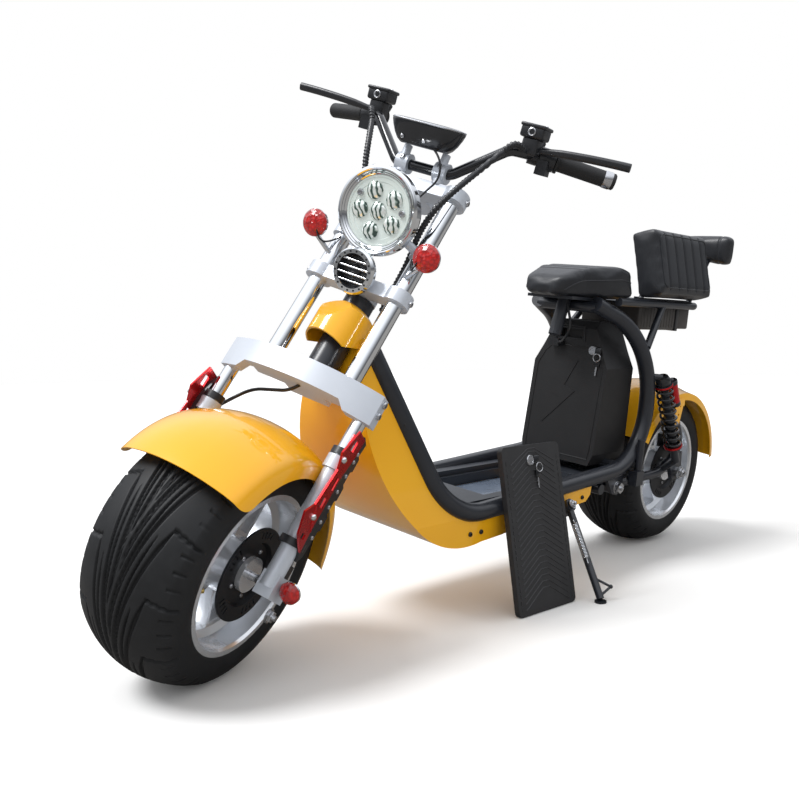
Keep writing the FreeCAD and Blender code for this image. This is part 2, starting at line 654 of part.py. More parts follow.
def build_bars():
    left = [bar_point(n) for n in range(1, len(BAR_ROUTE))]
    points = [V(-p.x, p.y, p.z) for p in reversed(left)] + left
    bar = pipe(points, [BAR_BEND] * (len(points) - 2), BAR_RADIUS)
    add("handlebar", "fork", bar)
    bore = along_grip(-10, 2 * BAR_HALF, BAR_RADIUS)
    grip = fused([along_grip(-6, GRIP_LENGTH + 6, GRIP_RADIUS), along_grip(GRIP_LENGTH - 6, 6, GRIP_RADIUS + 5),
                  along_grip(-8, 8, GRIP_RADIUS - 2)])
    add("grips", "fork", Part.Compound(both(grip.cut(along_grip(0, GRIP_LENGTH + 1, BAR_RADIUS)))))
    pod = fused([along_grip(GRIP_LENGTH + 2, POD_WIDTH, GRIP_RADIUS + 5),
                 level(box((-12, -20, -30), (12, 8, 0)), 0, 0, 0).translate(by_grip(GRIP_LENGTH + 18, 4, -8))])
    add("switch_pods", "fork", Part.Compound(both(pod.cut(bore))), ["handlebar"])
    perch = GRIP_LENGTH + POD_WIDTH + 4
    body = level(box((-18, -20, -34), (18, 12, 0)), 0, 0, 0).translate(by_grip(perch + 14, 28, 16))
    tank = level(box((-27, -26, 0), (27, 24, 28)), 0, 0, 0).translate(by_grip(perch + 14, 28, 16))
    knuckle, elbow, tip = by_grip(perch - 2, 24, -5), by_grip(60, 74, -20), by_grip(-56, 111, -36)
    lever = pipe([knuckle, elbow, tip], [120], 6)
    arm = rod(by_grip(perch + 7, 0, -6), knuckle + at_fork(0, 4, 0), 11)
    collar = along_grip(perch, PERCH_WIDTH, GRIP_RADIUS + 3)
    control = fused([body, tank, lever, arm, collar]).cut(bore)
    add("brake_controls", "fork", Part.Compound(both(control)), ["handlebar", "switch_pods"])
    boss_foot = by_grip(perch + PERCH_WIDTH / 2, -8, 12)
    boss = cylinder(MIRROR_BOSS_RADIUS, 28, boss_foot, Z_AXIS)
    bore = cylinder(MIRROR_BORE_RADIUS, MIRROR_BORE_DEPTH, boss_foot + V(0, 0, 28 - MIRROR_BORE_DEPTH), Z_AXIS)
    add("mirror_bosses", "fork", Part.Compound(both(boss.cut(bore))), ["brake_controls", "handlebar", "switch_pods"])
    posts = []
    for side in (-1, 1):
        x = side * RISER_SPACING
        foot = at_fork(x, TUBE_OFFSET + 12, UPPER_CLAMP_S + CLAMP_THICK)
        riser = fused([rod(foot, bar_point(0) + V(x, 0, 0), 14),
                       cylinder(BAR_RADIUS + 10, 28, bar_point(0) + V(x - 14, 0, 0), X_AXIS),
                       rod(bar_point(0) + at_fork(x, 15, 8), at_fork(x, 76, 1190), 9)])
        posts.append(riser)
    add("bar_risers", "fork", Part.Compound(posts), ["fork_clamps", "handlebar"])
    # (x, y) corners of the instrument's top face; its floor is smaller all round
    outline = [(-80, -20), (-56, -44), (56, -44), (80, -20), (80, 16), (44, 46), (-44, 46), (-80, 16)]
    size = METER_HALF_WIDTH / 80
    top = Part.makePolygon([V(x * size, y, METER_THICK) for x, y in outline + outline[:1]])
    floor = Part.makePolygon([V(x * size * 0.82, y * 0.8, 0) for x, y in outline + outline[:1]])
    add("meter", "fork", level(Part.makeLoft([floor, top], True, True), 0, 92, 1182), ["bar_risers"])


def build_cables():
    # (x, f, s) control points of each covered cable, held along the bar, lamp and tubes
    left = [(158, 88, 1222), (128, 98, 1140), (101, 101, 1066), (86, 86, 1032), (66, 50, 1004),
            (60, 18, 962), (54, 4, 905), (53, -2, 848)]
    right = [(-150, 88, 1222), (-128, 84, 1160), (-112, 74, 1112), (-88, 52, 1062), (-64, 22, 1026),
             (-34, 12, 1004), (-14, 38, 994)]
    hose = [(0, 40, 629), (-16, 34, 612), (-62, 18, 604), (-112, -2, 596), (-148, -12, 566), (-156, 20, 518)]
    sleeves = [cable([at_fork(*p) for p in route], CABLE_RADIUS) for route in (left, right)]
    sleeves.append(cable([at_fork(*p) for p in hose], HOSE_RADIUS))
    add("control_cables", "fork", Part.Compound(sleeves),
        ["headlight", "fork_arch", "fork_sliders", "fork_tubes", "lamp_ears"])


def build_frame():
    neck_y = behind_axle(316)
    bend_y = behind_axle(502)
    # x, y, z of each bend of the left rail, from the neck under the deck and up to the seat
    rail_points = [V(NECK_RAIL_X, neck_y, RAIL_NECK_Z), V(RAIL_X, bend_y, RAIL_BOTTOM_Z),
                   V(RAIL_X, RAIL_REAR_Y, RAIL_BOTTOM_Z + 43), V(RAIL_X - 10, RAIL_REAR_Y + 3, SEAT_Z - 93),
                   V(RAIL_X - 60, -480, SEAT_Z - 8)]
    rail = pipe(rail_points, [RAIL_BEND, RAIL_BEND, RAIL_SHOULDER_BEND], RAIL_RADIUS)
    add("frame_rails", "frame", Part.Compound(both(rail)))
    head_low = ARCH_S - ARCH_HEIGHT / 2 + 6 + ARCH_PLATE + 5
    head_high = LOWER_CLAMP_S - 2
    head_tube = raked(cylinder(HEAD_TUBE_RADIUS, head_high - head_low, V(0, 0, head_low), Z_AXIS))
    bore = raked(cylinder(STEM_RADIUS + RUNNING_CLEARANCE, 900, V(0, 0, 400), Z_AXIS))
    yoke_at = V(0, neck_y + 4, RAIL_NECK_Z - 10)
    yoke = rod(yoke_at - V(NECK_RAIL_X, 0, 0), yoke_at + V(NECK_RAIL_X, 0, 0), 18)
    spine = rod(raked(Part.Vertex(0, 0, 760)).Point, yoke_at, 24)
    add("head_tube", "frame", fused([head_tube, yoke, spine]).cut(bore), ["frame_rails"])
    # y and z of each tube across the frame
    crossings = [(behind_axle(571), 238), (-450, 244), (-380, 300)]
    cross = [rod(V(-RAIL_X, y, z), V(RAIL_X, y, z), 14) for y, z in crossings]
    # (y, z) corners of the plate that holds the swingarm's pivot under each rail
    plate = [(PIVOT_Y - 62, PIVOT_Z + 36), (PIVOT_Y + 26, PIVOT_Z + 42), (PIVOT_Y + 24, PIVOT_Z - 6),
             (PIVOT_Y + 2, PIVOT_Z - 22), (PIVOT_Y - 22, PIVOT_Z - 16)]
    plates = both(prism(plate, RAIL_X - 6, RAIL_X + 4))
    bolt = cylinder(PIVOT_RADIUS, 2 * RAIL_X + 20, V(-RAIL_X - 10, PIVOT_Y, PIVOT_Z), X_AXIS)
    bolts = [fused([bolt, nut(V(RAIL_X + 4, PIVOT_Y, PIVOT_Z), X_AXIS),
                    nut(V(-RAIL_X - 4, PIVOT_Y, PIVOT_Z), X_AXIS * -1)])]
    reach = ARM_X + 22
    axle = cylinder(AXLE_RADIUS, 2 * reach, V(-reach, 0, TYRE_RADIUS), X_AXIS)
    bolts.append(fused([axle, nut(V(ARM_X + 6, 0, TYRE_RADIUS), X_AXIS),
                        nut(V(-ARM_X - 6, 0, TYRE_RADIUS), X_AXIS * -1)]))
    add("axle_bolts", "frame", Part.Compound(bolts))
    add("cross_tubes", "frame", Part.Compound(cross + plates), ["frame_rails", "axle_bolts"])
    seat_cross = rod(V(-92, -470, SEAT_Z - 16), V(92, -470, SEAT_Z - 16), 15)
    post = rod(V(0, -520, SEAT_Z - 96), V(0, -490, SEAT_Z + 2), 17)
    plate = box((-70, -560, SEAT_Z), (70, -400, SEAT_Z + 8))
    add("seat_support", "frame", fused([seat_cross, post, plate]), ["frame_rails"])


# (behind the front axle, z, and the way inwards) along the front panel's outer face
HULL_OUTLINE = [(306, 620, 1.0, 0.2), (284, 566, 1.0, 0.1), (280, 504, 1.0, 0.0), (314, 365, 0.93, 0.37),
                (395, 256, 0.7, 0.72), (470, 206, 0.4, 0.92), (HULL_REAR, 190, 0.0, 1.0)]


def hull_solid(inset):
    """The space inside the front panel; the rails close its back."""
    p = [V(0, behind_axle(y + inset * dy), z + inset * dz) for y, z, dy, dz in HULL_OUTLINE]
    neck, bend, run = (316, RAIL_NECK_Z), (452, 352), (HULL_REAR, 260)
    middle = (518, 282)
    back = [V(0, behind_axle(y), z) for y, z in (run, middle, bend, neck)]
    edges = [Part.Arc(*p[0:3]).toShape(), Part.Arc(*p[2:5]).toShape(), Part.Arc(*p[4:7]).toShape(),
             Part.LineSegment(p[6], back[0]).toShape(), Part.Arc(*back[0:3]).toShape(),
             Part.LineSegment(back[2], back[3]).toShape(), Part.LineSegment(back[3], p[0]).toShape()]
    side = Part.Face(Part.Wire(edges))
    wide = RAIL_X + PANEL_PROUD - inset
    narrow = NECK_RAIL_X + PANEL_PROUD - inset
    front = [(-wide, 150), (wide, 150), (wide, RAIL_BOTTOM_Z), (narrow, RAIL_NECK_Z + 10),
             (-narrow, RAIL_NECK_Z + 10), (-wide, RAIL_BOTTOM_Z)]
    block = slab(front, behind_axle(200), behind_axle(HULL_REAR + 100))
    side.translate(V(-wide, 0, 0))
    return side.extrude(V(2 * wide, 0, 0)).common(block)


def build_panels():
    core = raked(cylinder(HEAD_TUBE_RADIUS, 400, V(0, 0, 600), Z_AXIS))
    # The hollow reaches past the rails, so that the panel is a skin that is open behind.
    hollow = hull_solid(PANEL_WALL)
    behind = put(hollow, V(0, 12, 6))
    skin = hull_solid(0).cut([hollow, behind]).cut(core)
    add("front_apron", "frame", skin, ["frame_rails", "head_tube"])
    half = RAIL_X + PANEL_PROUD
    front_y = behind_axle(HULL_REAR) + RUNNING_CLEARANCE
    # (y, z) of the belly tray's outer face, and of the hollow in it
    tray = [(front_y, 190), (-872, 194), (-560, 222), (-528, 224), (-510, 240), (-505, 284), (front_y, 262)]
    room = [(front_y - 1, 190 + PANEL_WALL), (-872, 194 + PANEL_WALL), (-561, 222 + PANEL_WALL),
            (-531, 224 + PANEL_WALL), (-514, 243), (-509, 300), (front_y - 1, 300)]
    belly = prism(tray, -half, half).cut(prism(room, PANEL_WALL - half, half - PANEL_WALL))
    inside = RAIL_X - RAIL_RADIUS
    belly = belly.cut(box((-inside, front_y, DECK_TOP_Z - DECK_DEPTH), (inside, DECK_REAR_Y, DECK_TOP_Z + 20)))
    add("belly_panel", "frame", belly, ["frame_rails", "front_apron", "cross_tubes"])
    top = LOWER_CLAMP_S - 20
    # (f, s) of the cowl's side view: a sloping brow, and a chin that runs down behind the head tube
    cowl = [(66, 744), (66, 772), (34, top), (-50, top), (-50, 782), (-10, 750), (24, 732)]
    room = [(62, 680), (62, 770), (31, top - 4), (-46, top - 4), (-46, 680)]
    middle = at_fork(0, COWL_OFFSET, 0)
    shell = []
    for points, radius in ((cowl, COWL_RADIUS), (room, COWL_RADIUS - PANEL_WALL)):
        drum = cylinder(radius, 300, middle + V(0, 0, 650), Z_AXIS)
        dome = Part.makeSphere(radius + 26, middle + V(0, 0, top - 84))
        barrel = cylinder(radius + 26, 200, middle + V(0, 0, top - 284), Z_AXIS)
        shell.append(prism([(-f, s) for f, s in points], -90, 90).common(drum).common(fused([dome, barrel])))
    add("neck_cover", "frame", raked(shell[0].cut(shell[1])).cut(core), ["head_tube", "front_apron", "frame_rails"])


def build_deck():
    half = RAIL_X - RAIL_RADIUS
    front_y = behind_axle(DECK_FRONT)
    low = DECK_TOP_Z - DECK_DEPTH
    hatch_front, hatch_rear = front_y + HATCH_FRONT_MARGIN, DECK_REAR_Y - HATCH_REAR_MARGIN
    across = HATCH_WIDTH / 2
    board = box((-half, front_y, low), (half, DECK_REAR_Y, DECK_TOP_Z))
    room = box((DECK_THICK - half, front_y + DECK_THICK, low - 1),
               (half - DECK_THICK, DECK_REAR_Y - DECK_THICK, DECK_TOP_Z - DECK_THICK))
    frame = box((-across - DECK_THICK, hatch_front - DECK_THICK, low),
                (across + DECK_THICK, hatch_rear + DECK_THICK, DECK_TOP_Z))
    seat = box((-across - HATCH_GAP, hatch_front - HATCH_GAP, DECK_TOP_Z - LID_THICK),
               (across + HATCH_GAP, hatch_rear + HATCH_GAP, DECK_TOP_Z + 1))
    well = box((HATCH_LEDGE - across, hatch_front + HATCH_LEDGE, low - 1),
               (across - HATCH_LEDGE, hatch_rear - HATCH_LEDGE, DECK_TOP_Z))
    add("deck", "frame", board.cut(room.cut(frame)).cut([seat, well]), ["frame_rails", "cross_tubes"])
    inside = across - HATCH_LEDGE - HATCH_GAP
    block_front, block_rear = hatch_front + HATCH_LEDGE + HATCH_GAP, hatch_rear - BATTERY_REAR_MARGIN
    floor = 194 + PANEL_WALL + RUNNING_CLEARANCE
    slope = (222 - 194) / (872 - 560)
    block = prism([(block_front, max(floor, floor + slope * (block_front + 872))), (block_front, BATTERY_TOP_Z),
                   (block_rear, BATTERY_TOP_Z), (block_rear, floor + slope * (block_rear + 872))],
                  -inside, inside)
    add("deck_battery", "frame", block, ["belly_panel", "cross_tubes"])
    return hatch_rear - hatch_front


# (x, z) of a plain zigzag lightning bolt on the battery case
BOLT_MARK = [(26, 574), (-48, 478), (-16, 468), (-60, 392), (30, 490), (-6, 502)]


def build_case():
    """The battery case between the rails, with a slanted face, a carrying handle and a raised mark."""
    side = [(-462, CASE_FOOT_Z), (-424, CASE_TOP_Z - 20), (-400, CASE_TOP_Z), (-300, CASE_TOP_Z),
            (-300, CASE_FOOT_Z)]
    half = CASE_HALF_WIDTH
    front = [(-half + 10, CASE_FOOT_Z), (half - 10, CASE_FOOT_Z), (half, 330), (half, 560), (half - 22, 604),
             (60, CASE_TOP_Z), (-60, CASE_TOP_Z), (22 - half, 604), (-half, 560), (-half, 330)]
    case = prism(side, -half, half).common(slab(front, -520, -250))
    handle = box((-46, -470, 632), (26, -404, 656))
    lip_face = [(y - CASE_LIP, z) for y, z in side[:2]] + [(y + 6, z) for y, z in reversed(side[:2])]
    mark = slab(BOLT_MARK, -480, -400).common(prism(lip_face, -half, half))
    add("battery_case", "frame", fused([case.cut(handle), mark]),
        ["cross_tubes", "frame_rails", "seat_support"])
    # The lead from under the saddle arcs over to its socket on the case.
    lead = [V(14, -496, SEAT_Z + 2), V(20, -500, 712), V(34, -502, 676), V(26, -500, 642), V(0, -482, 622),
            V(-34, -452, 616)]
    plug = box((-62, -456, 606), (-30, -424, 626))
    add("seat_lead", "frame", fused([cable(lead, 3.5), plug]), ["battery_case", "seat_support"])


def pad_hinge():
    """The front end of the passenger pad's hinge line, along the inside of the rack's left tube."""
    return V(PAD_HINGE_X, RACK_REAR_Y - PAD_REAR_GAP - PAD_SIZE[1], SEAT_Z + 2 + RACK_TUBE_RADIUS + RUNNING_CLEARANCE)


def pad_knuckles():
    """The hinge pin of the passenger pad, held in a block on the carrier plate at either end."""
    at = pad_hinge()
    long = PAD_SIZE[1]
    pin = cylinder(PAD_PIN_RADIUS, long + 12, at - Y_AXIS * 6, Y_AXIS)
    half = PAD_PIN_RADIUS + 2
    pieces = [pin]
    for y in (at.y - 8, at.y + long + RUNNING_CLEARANCE):
        pieces.append(box((at.x - half, y, SEAT_Z + 2), (at.x + half, y + 8 - RUNNING_CLEARANCE, at.z + half)))
    return pieces


def build_seat():
    # (y, z) of the saddle's side view and (x, y) of its plan
    side = [(-633, SEAT_Z + 9), (-621, SEAT_Z + 62), (-540, SEAT_Z + 79), (-412, SEAT_Z + 90),
            (-366, SEAT_Z + 84), (-338, SEAT_Z + 13), (-400, SEAT_Z + 9)]
    half = SADDLE_HALF_WIDTH
    plan = [(40, -634), (66, -600), (84, -520), (half - 4, -420), (half, -336)]
    plan = plan + [(-x, y) for x, y in reversed(plan)]
    saddle = prism(side, -half, half).common(face_of([(x, y, SEAT_Z - 40) for x, y in plan]).extrude(V(0, 0, 200)))
    add("saddle", "frame", saddle, ["seat_support", "frame_rails"])
    wide, tube = RACK_HALF_WIDTH, RACK_TUBE_RADIUS
    z = SEAT_Z + 2
    hoop = pipe([V(wide, -420, z), V(wide, RACK_REAR_Y, z), V(-wide, RACK_REAR_Y, z), V(-wide, -420, z)],
                [40, 40], tube)
    strut = rod(V(wide, -186, z - 8), V(RAIL_X - 8, -285, SEAT_Z - 116), tube - 1)
    sheet = box((2 - wide, -330, SEAT_Z), (wide - 2, RACK_REAR_Y - 2, SEAT_Z + 4))
    stay = rod(V(80, RACK_REAR_Y + 8, z), V(80, RACK_REAR_Y + 116, SEAT_Z + 154), 8)
    add("rack", "frame", fused([hoop, sheet] + both(strut) + both(stay) + pad_knuckles()),
        ["frame_rails", "seat_support", "saddle"])
    add("rack_box", "frame", box((-95, -262, SEAT_Z - 74), (95, 36, SEAT_Z)), ["rack"])
    add("backrest", "frame", box((-BACKREST_HALF_WIDTH, 122, SEAT_Z + 132), (BACKREST_HALF_WIDTH, 176, SEAT_Z + 222)),
        ["rack"])
    thick, long, high = PAD_SIZE
    pad = box((0, 0, 0), (thick, long, high))
    pad = pad.cut(cylinder(PAD_PIN_RADIUS + RUNNING_CLEARANCE, long + 2, V(0, -1, 0), Y_AXIS))
    add("passenger_pad", "passenger_pad", put(pad, pad_hinge(), Y_AXIS, PAD_REST))


def build_rear():
    # y and z of the swingarm's left tube: back from its pivot, then up round the wheel's middle
    bow = [(PIVOT_Y, PIVOT_Z), (-110, PIVOT_Z + 4), (20, PIVOT_Z + 58), (-40, PIVOT_Z + 158)]
    arm = pipe([V(ARM_X, y, z) for y, z in bow], [120, 60], ARM_RADIUS)
    boss = cylinder(20, RAIL_X - 6 - RUNNING_CLEARANCE - ARM_X + 15, V(ARM_X - 15, PIVOT_Y, PIVOT_Z), X_AXIS)
    # (y, z) corners of the plate that holds the axle under the arm
    plate = [(-52, TYRE_RADIUS + 34), (-24, TYRE_RADIUS - 22), (18, TYRE_RADIUS - 24), (28, TYRE_RADIUS - 4),
             (18, TYRE_RADIUS + 62)]
    end = prism(plate, ARM_X - 6, ARM_X + 6)
    bridge = cylinder(16, 2 * ARM_X - 20, V(10 - ARM_X, PIVOT_Y, PIVOT_Z), X_AXIS)
    add("swingarm", "frame", fused(both(arm) + both(boss) + both(end) + [bridge]), ["axle_bolts"])
    top, foot = V(SHOCK_X, -236, 540), V(SHOCK_X, -95, 290)
    run = (foot - top).normalize()
    spring_top, spring_foot = top + run * 28, foot - run * 58
    can_top, can_foot = V(SHOCK_X, -178, 530), V(SHOCK_X, -140, 460)
    damper = fused([rod(top, foot, DAMPER_RADIUS), cylinder(SPRING_RADIUS, 7, spring_top - run * 7, run),
                    cylinder(SPRING_RADIUS, 7, spring_foot, run),
                    rod(top, V(RAIL_X - 6, RAIL_REAR_Y, 540), 9), rod(foot, V(ARM_X, -95, 252), 9),
                    rod(top, can_top, 6)])
    coil = (spring_foot - spring_top).Length / SPRING_COILS
    profile = [(0, DAMPER_RADIUS + 4)]
    for n in range(SPRING_COILS):
        profile += [(n * coil, SPRING_RADIUS - 6), ((n + 0.5) * coil, SPRING_RADIUS)]
    profile += [(SPRING_COILS * coil, SPRING_RADIUS - 6), (SPRING_COILS * coil, DAMPER_RADIUS + 4)]
    spring = spun(profile)
    spring.Placement = FreeCAD.Placement(spring_top, FreeCAD.Rotation(X_AXIS, run))
    add("shock_springs", "frame", Part.Compound(both(spring)))
    add("shock_cans", "frame", Part.Compound(both(rod(can_top, can_foot, 14))))
    add("shock_dampers", "frame", Part.Compound(both(damper)), ["frame_rails", "swingarm", "shock_cans"])
    hood = put(fender(*REAR_FENDER), V(0, 0, TYRE_RADIUS))
    # (y, z) corners of the drilled plate that carries the fender on the swingarm, and its holes
    stay = [(-60, TYRE_RADIUS + 148), (-40, TYRE_RADIUS + 148), (-20, TYRE_RADIUS + 226), (-78, TYRE_RADIUS + 232)]
    holes = [(-49, TYRE_RADIUS + 180), (-42, TYRE_RADIUS + 206), (-58, TYRE_RADIUS + 208)]
    plate = prism(stay, ARM_X + ARM_RADIUS - 3, FENDER_HALF_WIDTH + 8)
    plate = plate.cut([cylinder(4, 60, V(ARM_X, y, z), X_AXIS) for y, z in holes])
    tabs = both(prism([(-78, TYRE_RADIUS + 206), (-18, TYRE_RADIUS + 206), (-20, TYRE_RADIUS + 226),
                       (-78, TYRE_RADIUS + 232)], FENDER_HALF_WIDTH - 5, FENDER_HALF_WIDTH + 8))
    add("rear_fender", "frame", fused([hood] + both(plate) + tabs), ["frame_rails", "swingarm"])
    inner = TYRE_RADIUS + DISC_RADIUS - DISC_GRIP
    body = box((DISC_PLANE - 14, -46, inner), (ARM_X - 8, 6, inner + 40))
    slot = box((DISC_PLANE - 7, -80, TYRE_RADIUS), (DISC_PLANE + 7, 60, inner + 30))
    tie = box((DISC_PLANE + 12, -14, inner - 14), (ARM_X, 14, inner + 20))
    add("rear_caliper", "frame", fused([body.cut(slot), tie]).cut(slot), ["swingarm"])
    peg = fused([rod(V(SHOCK_X, -310, 262), V(SHOCK_X + 4, -316, 372), 10),
                 rod(V(RAIL_X, -318, 262), V(SHOCK_X + 6, -318, 262), 9),
                 box((SHOCK_X - 13, -334, 246), (SHOCK_X + 13, -298, 286))])
    add("foot_pegs", "frame", Part.Compound(both(peg)), ["frame_rails", "swingarm"])


def stand_direction(angle):
    """Along the stand's leg, from its pivot to its foot; the angle swings it back about its bolt."""
    down = V(math.sin(math.radians(STAND_SPLAY)), 0, -math.cos(math.radians(STAND_SPLAY)))
    return down * math.cos(math.radians(angle)) + Y_AXIS * math.sin(math.radians(angle))


def stand_bolt():
    return V(math.cos(math.radians(STAND_SPLAY)), 0, math.sin(math.radians(STAND_SPLAY)))


def ground_height(point):
    """How high a point of the upright scooter stands above the floor once it leans."""
    return point.z * math.cos(lean) - point.x * math.sin(lean) + TYRE_CROWN * (1 - math.cos(lean))


def build_stand():
    direction = stand_direction(STAND_PARKED)
    drop = ground_height(STAND_PIVOT) - ground_height(STAND_PIVOT + direction)
    length = (ground_height(STAND_PIVOT) - STAND_RADIUS) / drop
    foot = STAND_PIVOT + direction * length
    bolt = stand_bolt()
    leg = rod(STAND_PIVOT, foot, STAND_RADIUS)
    eye = cylinder(STAND_EYE_RADIUS, 2 * STAND_RADIUS, STAND_PIVOT - bolt * STAND_RADIUS, bolt)
    hole = cylinder(STAND_PIN_RADIUS + RUNNING_CLEARANCE, 60, STAND_PIVOT - bolt * 30, bolt)
    # A wire loop near the foot is what the rider's boot pushes.
    loop_top, loop_tip = foot - direction * 52, foot + V(4, 34, 24)
    loop = [rod(loop_top, loop_tip, 3), Part.makeSphere(5, loop_tip), rod(loop_tip, foot - direction * 6, 3)]
    up = V(-math.sin(lean), 0, math.cos(lean))
    shoe = cylinder(STAND_RADIUS + 5, 5, foot - up * STAND_RADIUS, up)
    add("side_stand", "side_stand", fused([leg, eye, shoe] + loop).cut(hole))
    lug = box((RAIL_X + PANEL_PROUD + RUNNING_CLEARANCE, -655, 205), (STAND_PIVOT.x, -611, 270))
    lug = lug.cut(cylinder(60, 100, STAND_PIVOT - bolt * (STAND_RADIUS + RUNNING_CLEARANCE), bolt))
    pin = rod(STAND_PIVOT - bolt * 20, STAND_PIVOT + bolt * 14, STAND_PIN_RADIUS)
    add("stand_bracket", "frame", fused([lug, pin]), ["frame_rails", "belly_panel"])


def lid_foot():
    """How far out the lid's inner lower corner stands, for its face to rest on the left rail."""
    run = RAIL_REAR_Y - behind_axle(502)
    rise = (LID_FRONT_Y - behind_axle(502)) * 43 / run
    rail_x = RAIL_X * math.cos(lean) + (RAIL_BOTTOM_Z + rise) * math.sin(lean)
    rail_z = (RAIL_BOTTOM_Z + rise) * math.cos(lean) - RAIL_X * math.sin(lean)
    tilt = math.radians(LID_LEAN)
    return rail_x + (RAIL_RADIUS + RUNNING_CLEARANCE + rail_z * math.sin(tilt)) / math.cos(tilt)


def build_lid(length):
    lid = Part.makeBox(LID_THICK, HATCH_WIDTH, length)
    corners = [e for e in lid.Edges if abs(e.BoundBox.XLength - LID_THICK) < 1e-6]
    lid = lid.makeFillet(LID_CORNER, corners)
    lid.rotate(V(0, 0, 0), Y_AXIS, -LID_LEAN)
    add("hatch_lid", "hatch_lid", lid)


def to_world(body):
    """Where a body's upright drawing lies once the scooter is parked."""
    leaned = FreeCAD.Placement(V(0, 0, TYRE_CROWN * (1 - math.cos(lean))), FreeCAD.Rotation(Y_AXIS, LEAN))
    forked = leaned.multiply(FreeCAD.Placement(AXIS_FOOT, FreeCAD.Rotation(X_AXIS, -RAKE)))
    forked = forked.multiply(FreeCAD.Placement(V(0, 0, 0), FreeCAD.Rotation(Z_AXIS, STEER_STOP)))
    if body == "fork":
        return forked
    if body == "front_wheel":
        return forked.multiply(FreeCAD.Placement(at_fork(0, WHEEL_OFFSET, AXLE_S), FreeCAD.Rotation()))
    if body == "rear_wheel":
        return leaned.multiply(FreeCAD.Placement(V(0, 0, TYRE_RADIUS), FreeCAD.Rotation()))
    if body == "hatch_lid":
        return FreeCAD.Placement(V(lid_foot(), LID_FRONT_Y, 0), FreeCAD.Rotation(Z_AXIS, LID_TURN))
    return leaned


build_wheels()
build_fork()
build_frame()
build_panels()
hatch_length = build_deck()
build_case()
build_seat()
build_rear()
build_stand()
build_lid(hatch_length)

os.makedirs("parts", exist_ok=True)
to_origin = FreeCAD.Placement(ORIGIN * -1, FreeCAD.Rotation())
for name, (body, shape) in parts.items():
    placed = shape.copy()
    placed.Placement = to_origin.multiply(to_world(body)).multiply(shape.Placement)
    placed.exportStep("parts/" + name + ".step")
    print(name, body, len(placed.Solids), round(placed.Volume / 1000), placed.isValid())


def report_axis(name, body, point, direction):
    """Prints a joint's or mount's place and axis in the part's own frame, in metres."""
    frame = to_origin.multiply(to_world(body))
    at = frame.multVec(point) / 1000
    along = frame.Rotation.multVec(direction)
    print("axis", name, *[round(v, 6) for v in (at.x, at.y, at.z, along.x, along.y, along.z)])


boss_mouth = by_grip(GRIP_LENGTH + POD_WIDTH + 4 + PERCH_WIDTH / 2, -8, 40)
report_axis("steering", "fork", V(0, 0, LOWER_CLAMP_S), Z_AXIS)
report_axis("front_spin", "front_wheel", V(0, 0, 0), X_AXIS)
report_axis("rear_spin", "rear_wheel", V(0, 0, 0), X_AXIS)
report_axis("stand", "side_stand", STAND_PIVOT, stand_bolt())
report_axis("pad", "passenger_pad", pad_hinge() + Y_AXIS * (PAD_SIZE[1] / 2), Y_AXIS)
report_axis("mirror_left", "fork", boss_mouth, Z_AXIS)
report_axis("mirror_right", "fork", V(-boss_mouth.x, boss_mouth.y, boss_mouth.z), Z_AXIS)
report_axis("rack_top", "frame", V(0, -100, SEAT_Z + 4), Z_AXIS)
report_axis("deck_top", "frame", V(-115, -700, DECK_TOP_Z), Z_AXIS)
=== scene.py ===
import json
import math

import bmesh
import bpy
import numpy as np
from mathutils import Matrix, Vector
from mathutils.bvhtree import BVHTree


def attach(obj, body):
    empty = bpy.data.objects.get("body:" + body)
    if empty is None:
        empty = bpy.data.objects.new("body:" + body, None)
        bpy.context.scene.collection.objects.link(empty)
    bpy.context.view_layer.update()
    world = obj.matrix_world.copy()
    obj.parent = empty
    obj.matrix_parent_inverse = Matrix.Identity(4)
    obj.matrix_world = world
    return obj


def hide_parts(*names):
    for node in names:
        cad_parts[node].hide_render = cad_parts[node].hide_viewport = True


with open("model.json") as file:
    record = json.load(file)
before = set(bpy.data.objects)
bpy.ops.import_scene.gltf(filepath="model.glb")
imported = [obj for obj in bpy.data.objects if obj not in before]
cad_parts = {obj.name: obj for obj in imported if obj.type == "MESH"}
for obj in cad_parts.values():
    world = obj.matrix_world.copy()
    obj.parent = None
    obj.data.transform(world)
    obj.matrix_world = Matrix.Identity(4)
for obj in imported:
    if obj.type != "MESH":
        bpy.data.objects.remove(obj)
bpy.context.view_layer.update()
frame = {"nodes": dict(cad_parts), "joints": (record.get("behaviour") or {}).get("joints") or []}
nodes = frame["nodes"]
joints = {joint["name"]: joint for joint in frame["joints"]}
scene = bpy.context.scene

# View
# The photographer stands ahead of the scooter and to its left, with the lens at knee height. The
# focal length is given in the photograph's pixels and carried over to the sensor.
LENS_AT = Vector((1.2085, -1.6036, 0.6067))
LENS_YAW = 0.7904
LENS_PITCH = math.radians(-3.58)
LENS_ROLL = math.radians(-0.56)
FOCAL_PIXELS = 833.74
PHOTO_PIXELS = 799
SENSOR_WIDTH = 36.0

ahead = Vector((-math.sin(LENS_YAW) * math.cos(LENS_PITCH),
                math.cos(LENS_YAW) * math.cos(LENS_PITCH),
                math.sin(LENS_PITCH)))
level_right = Vector((math.cos(LENS_YAW), math.sin(LENS_YAW), 0))
level_up = level_right.cross(ahead)
right = math.cos(LENS_ROLL) * level_right + math.sin(LENS_ROLL) * level_up
up = math.cos(LENS_ROLL) * level_up - math.sin(LENS_ROLL) * level_right
lens = bpy.data.cameras.new("lens")
lens.sensor_width = SENSOR_WIDTH
lens.lens = SENSOR_WIDTH * FOCAL_PIXELS / PHOTO_PIXELS
camera = bpy.data.objects.new("camera", lens)
scene.collection.objects.link(camera)
camera.matrix_world = Matrix.Translation(LENS_AT) @ Matrix((right, up, -ahead)).transposed().to_4x4()
scene.camera = camera
scene.view_settings.view_transform = "Standard"

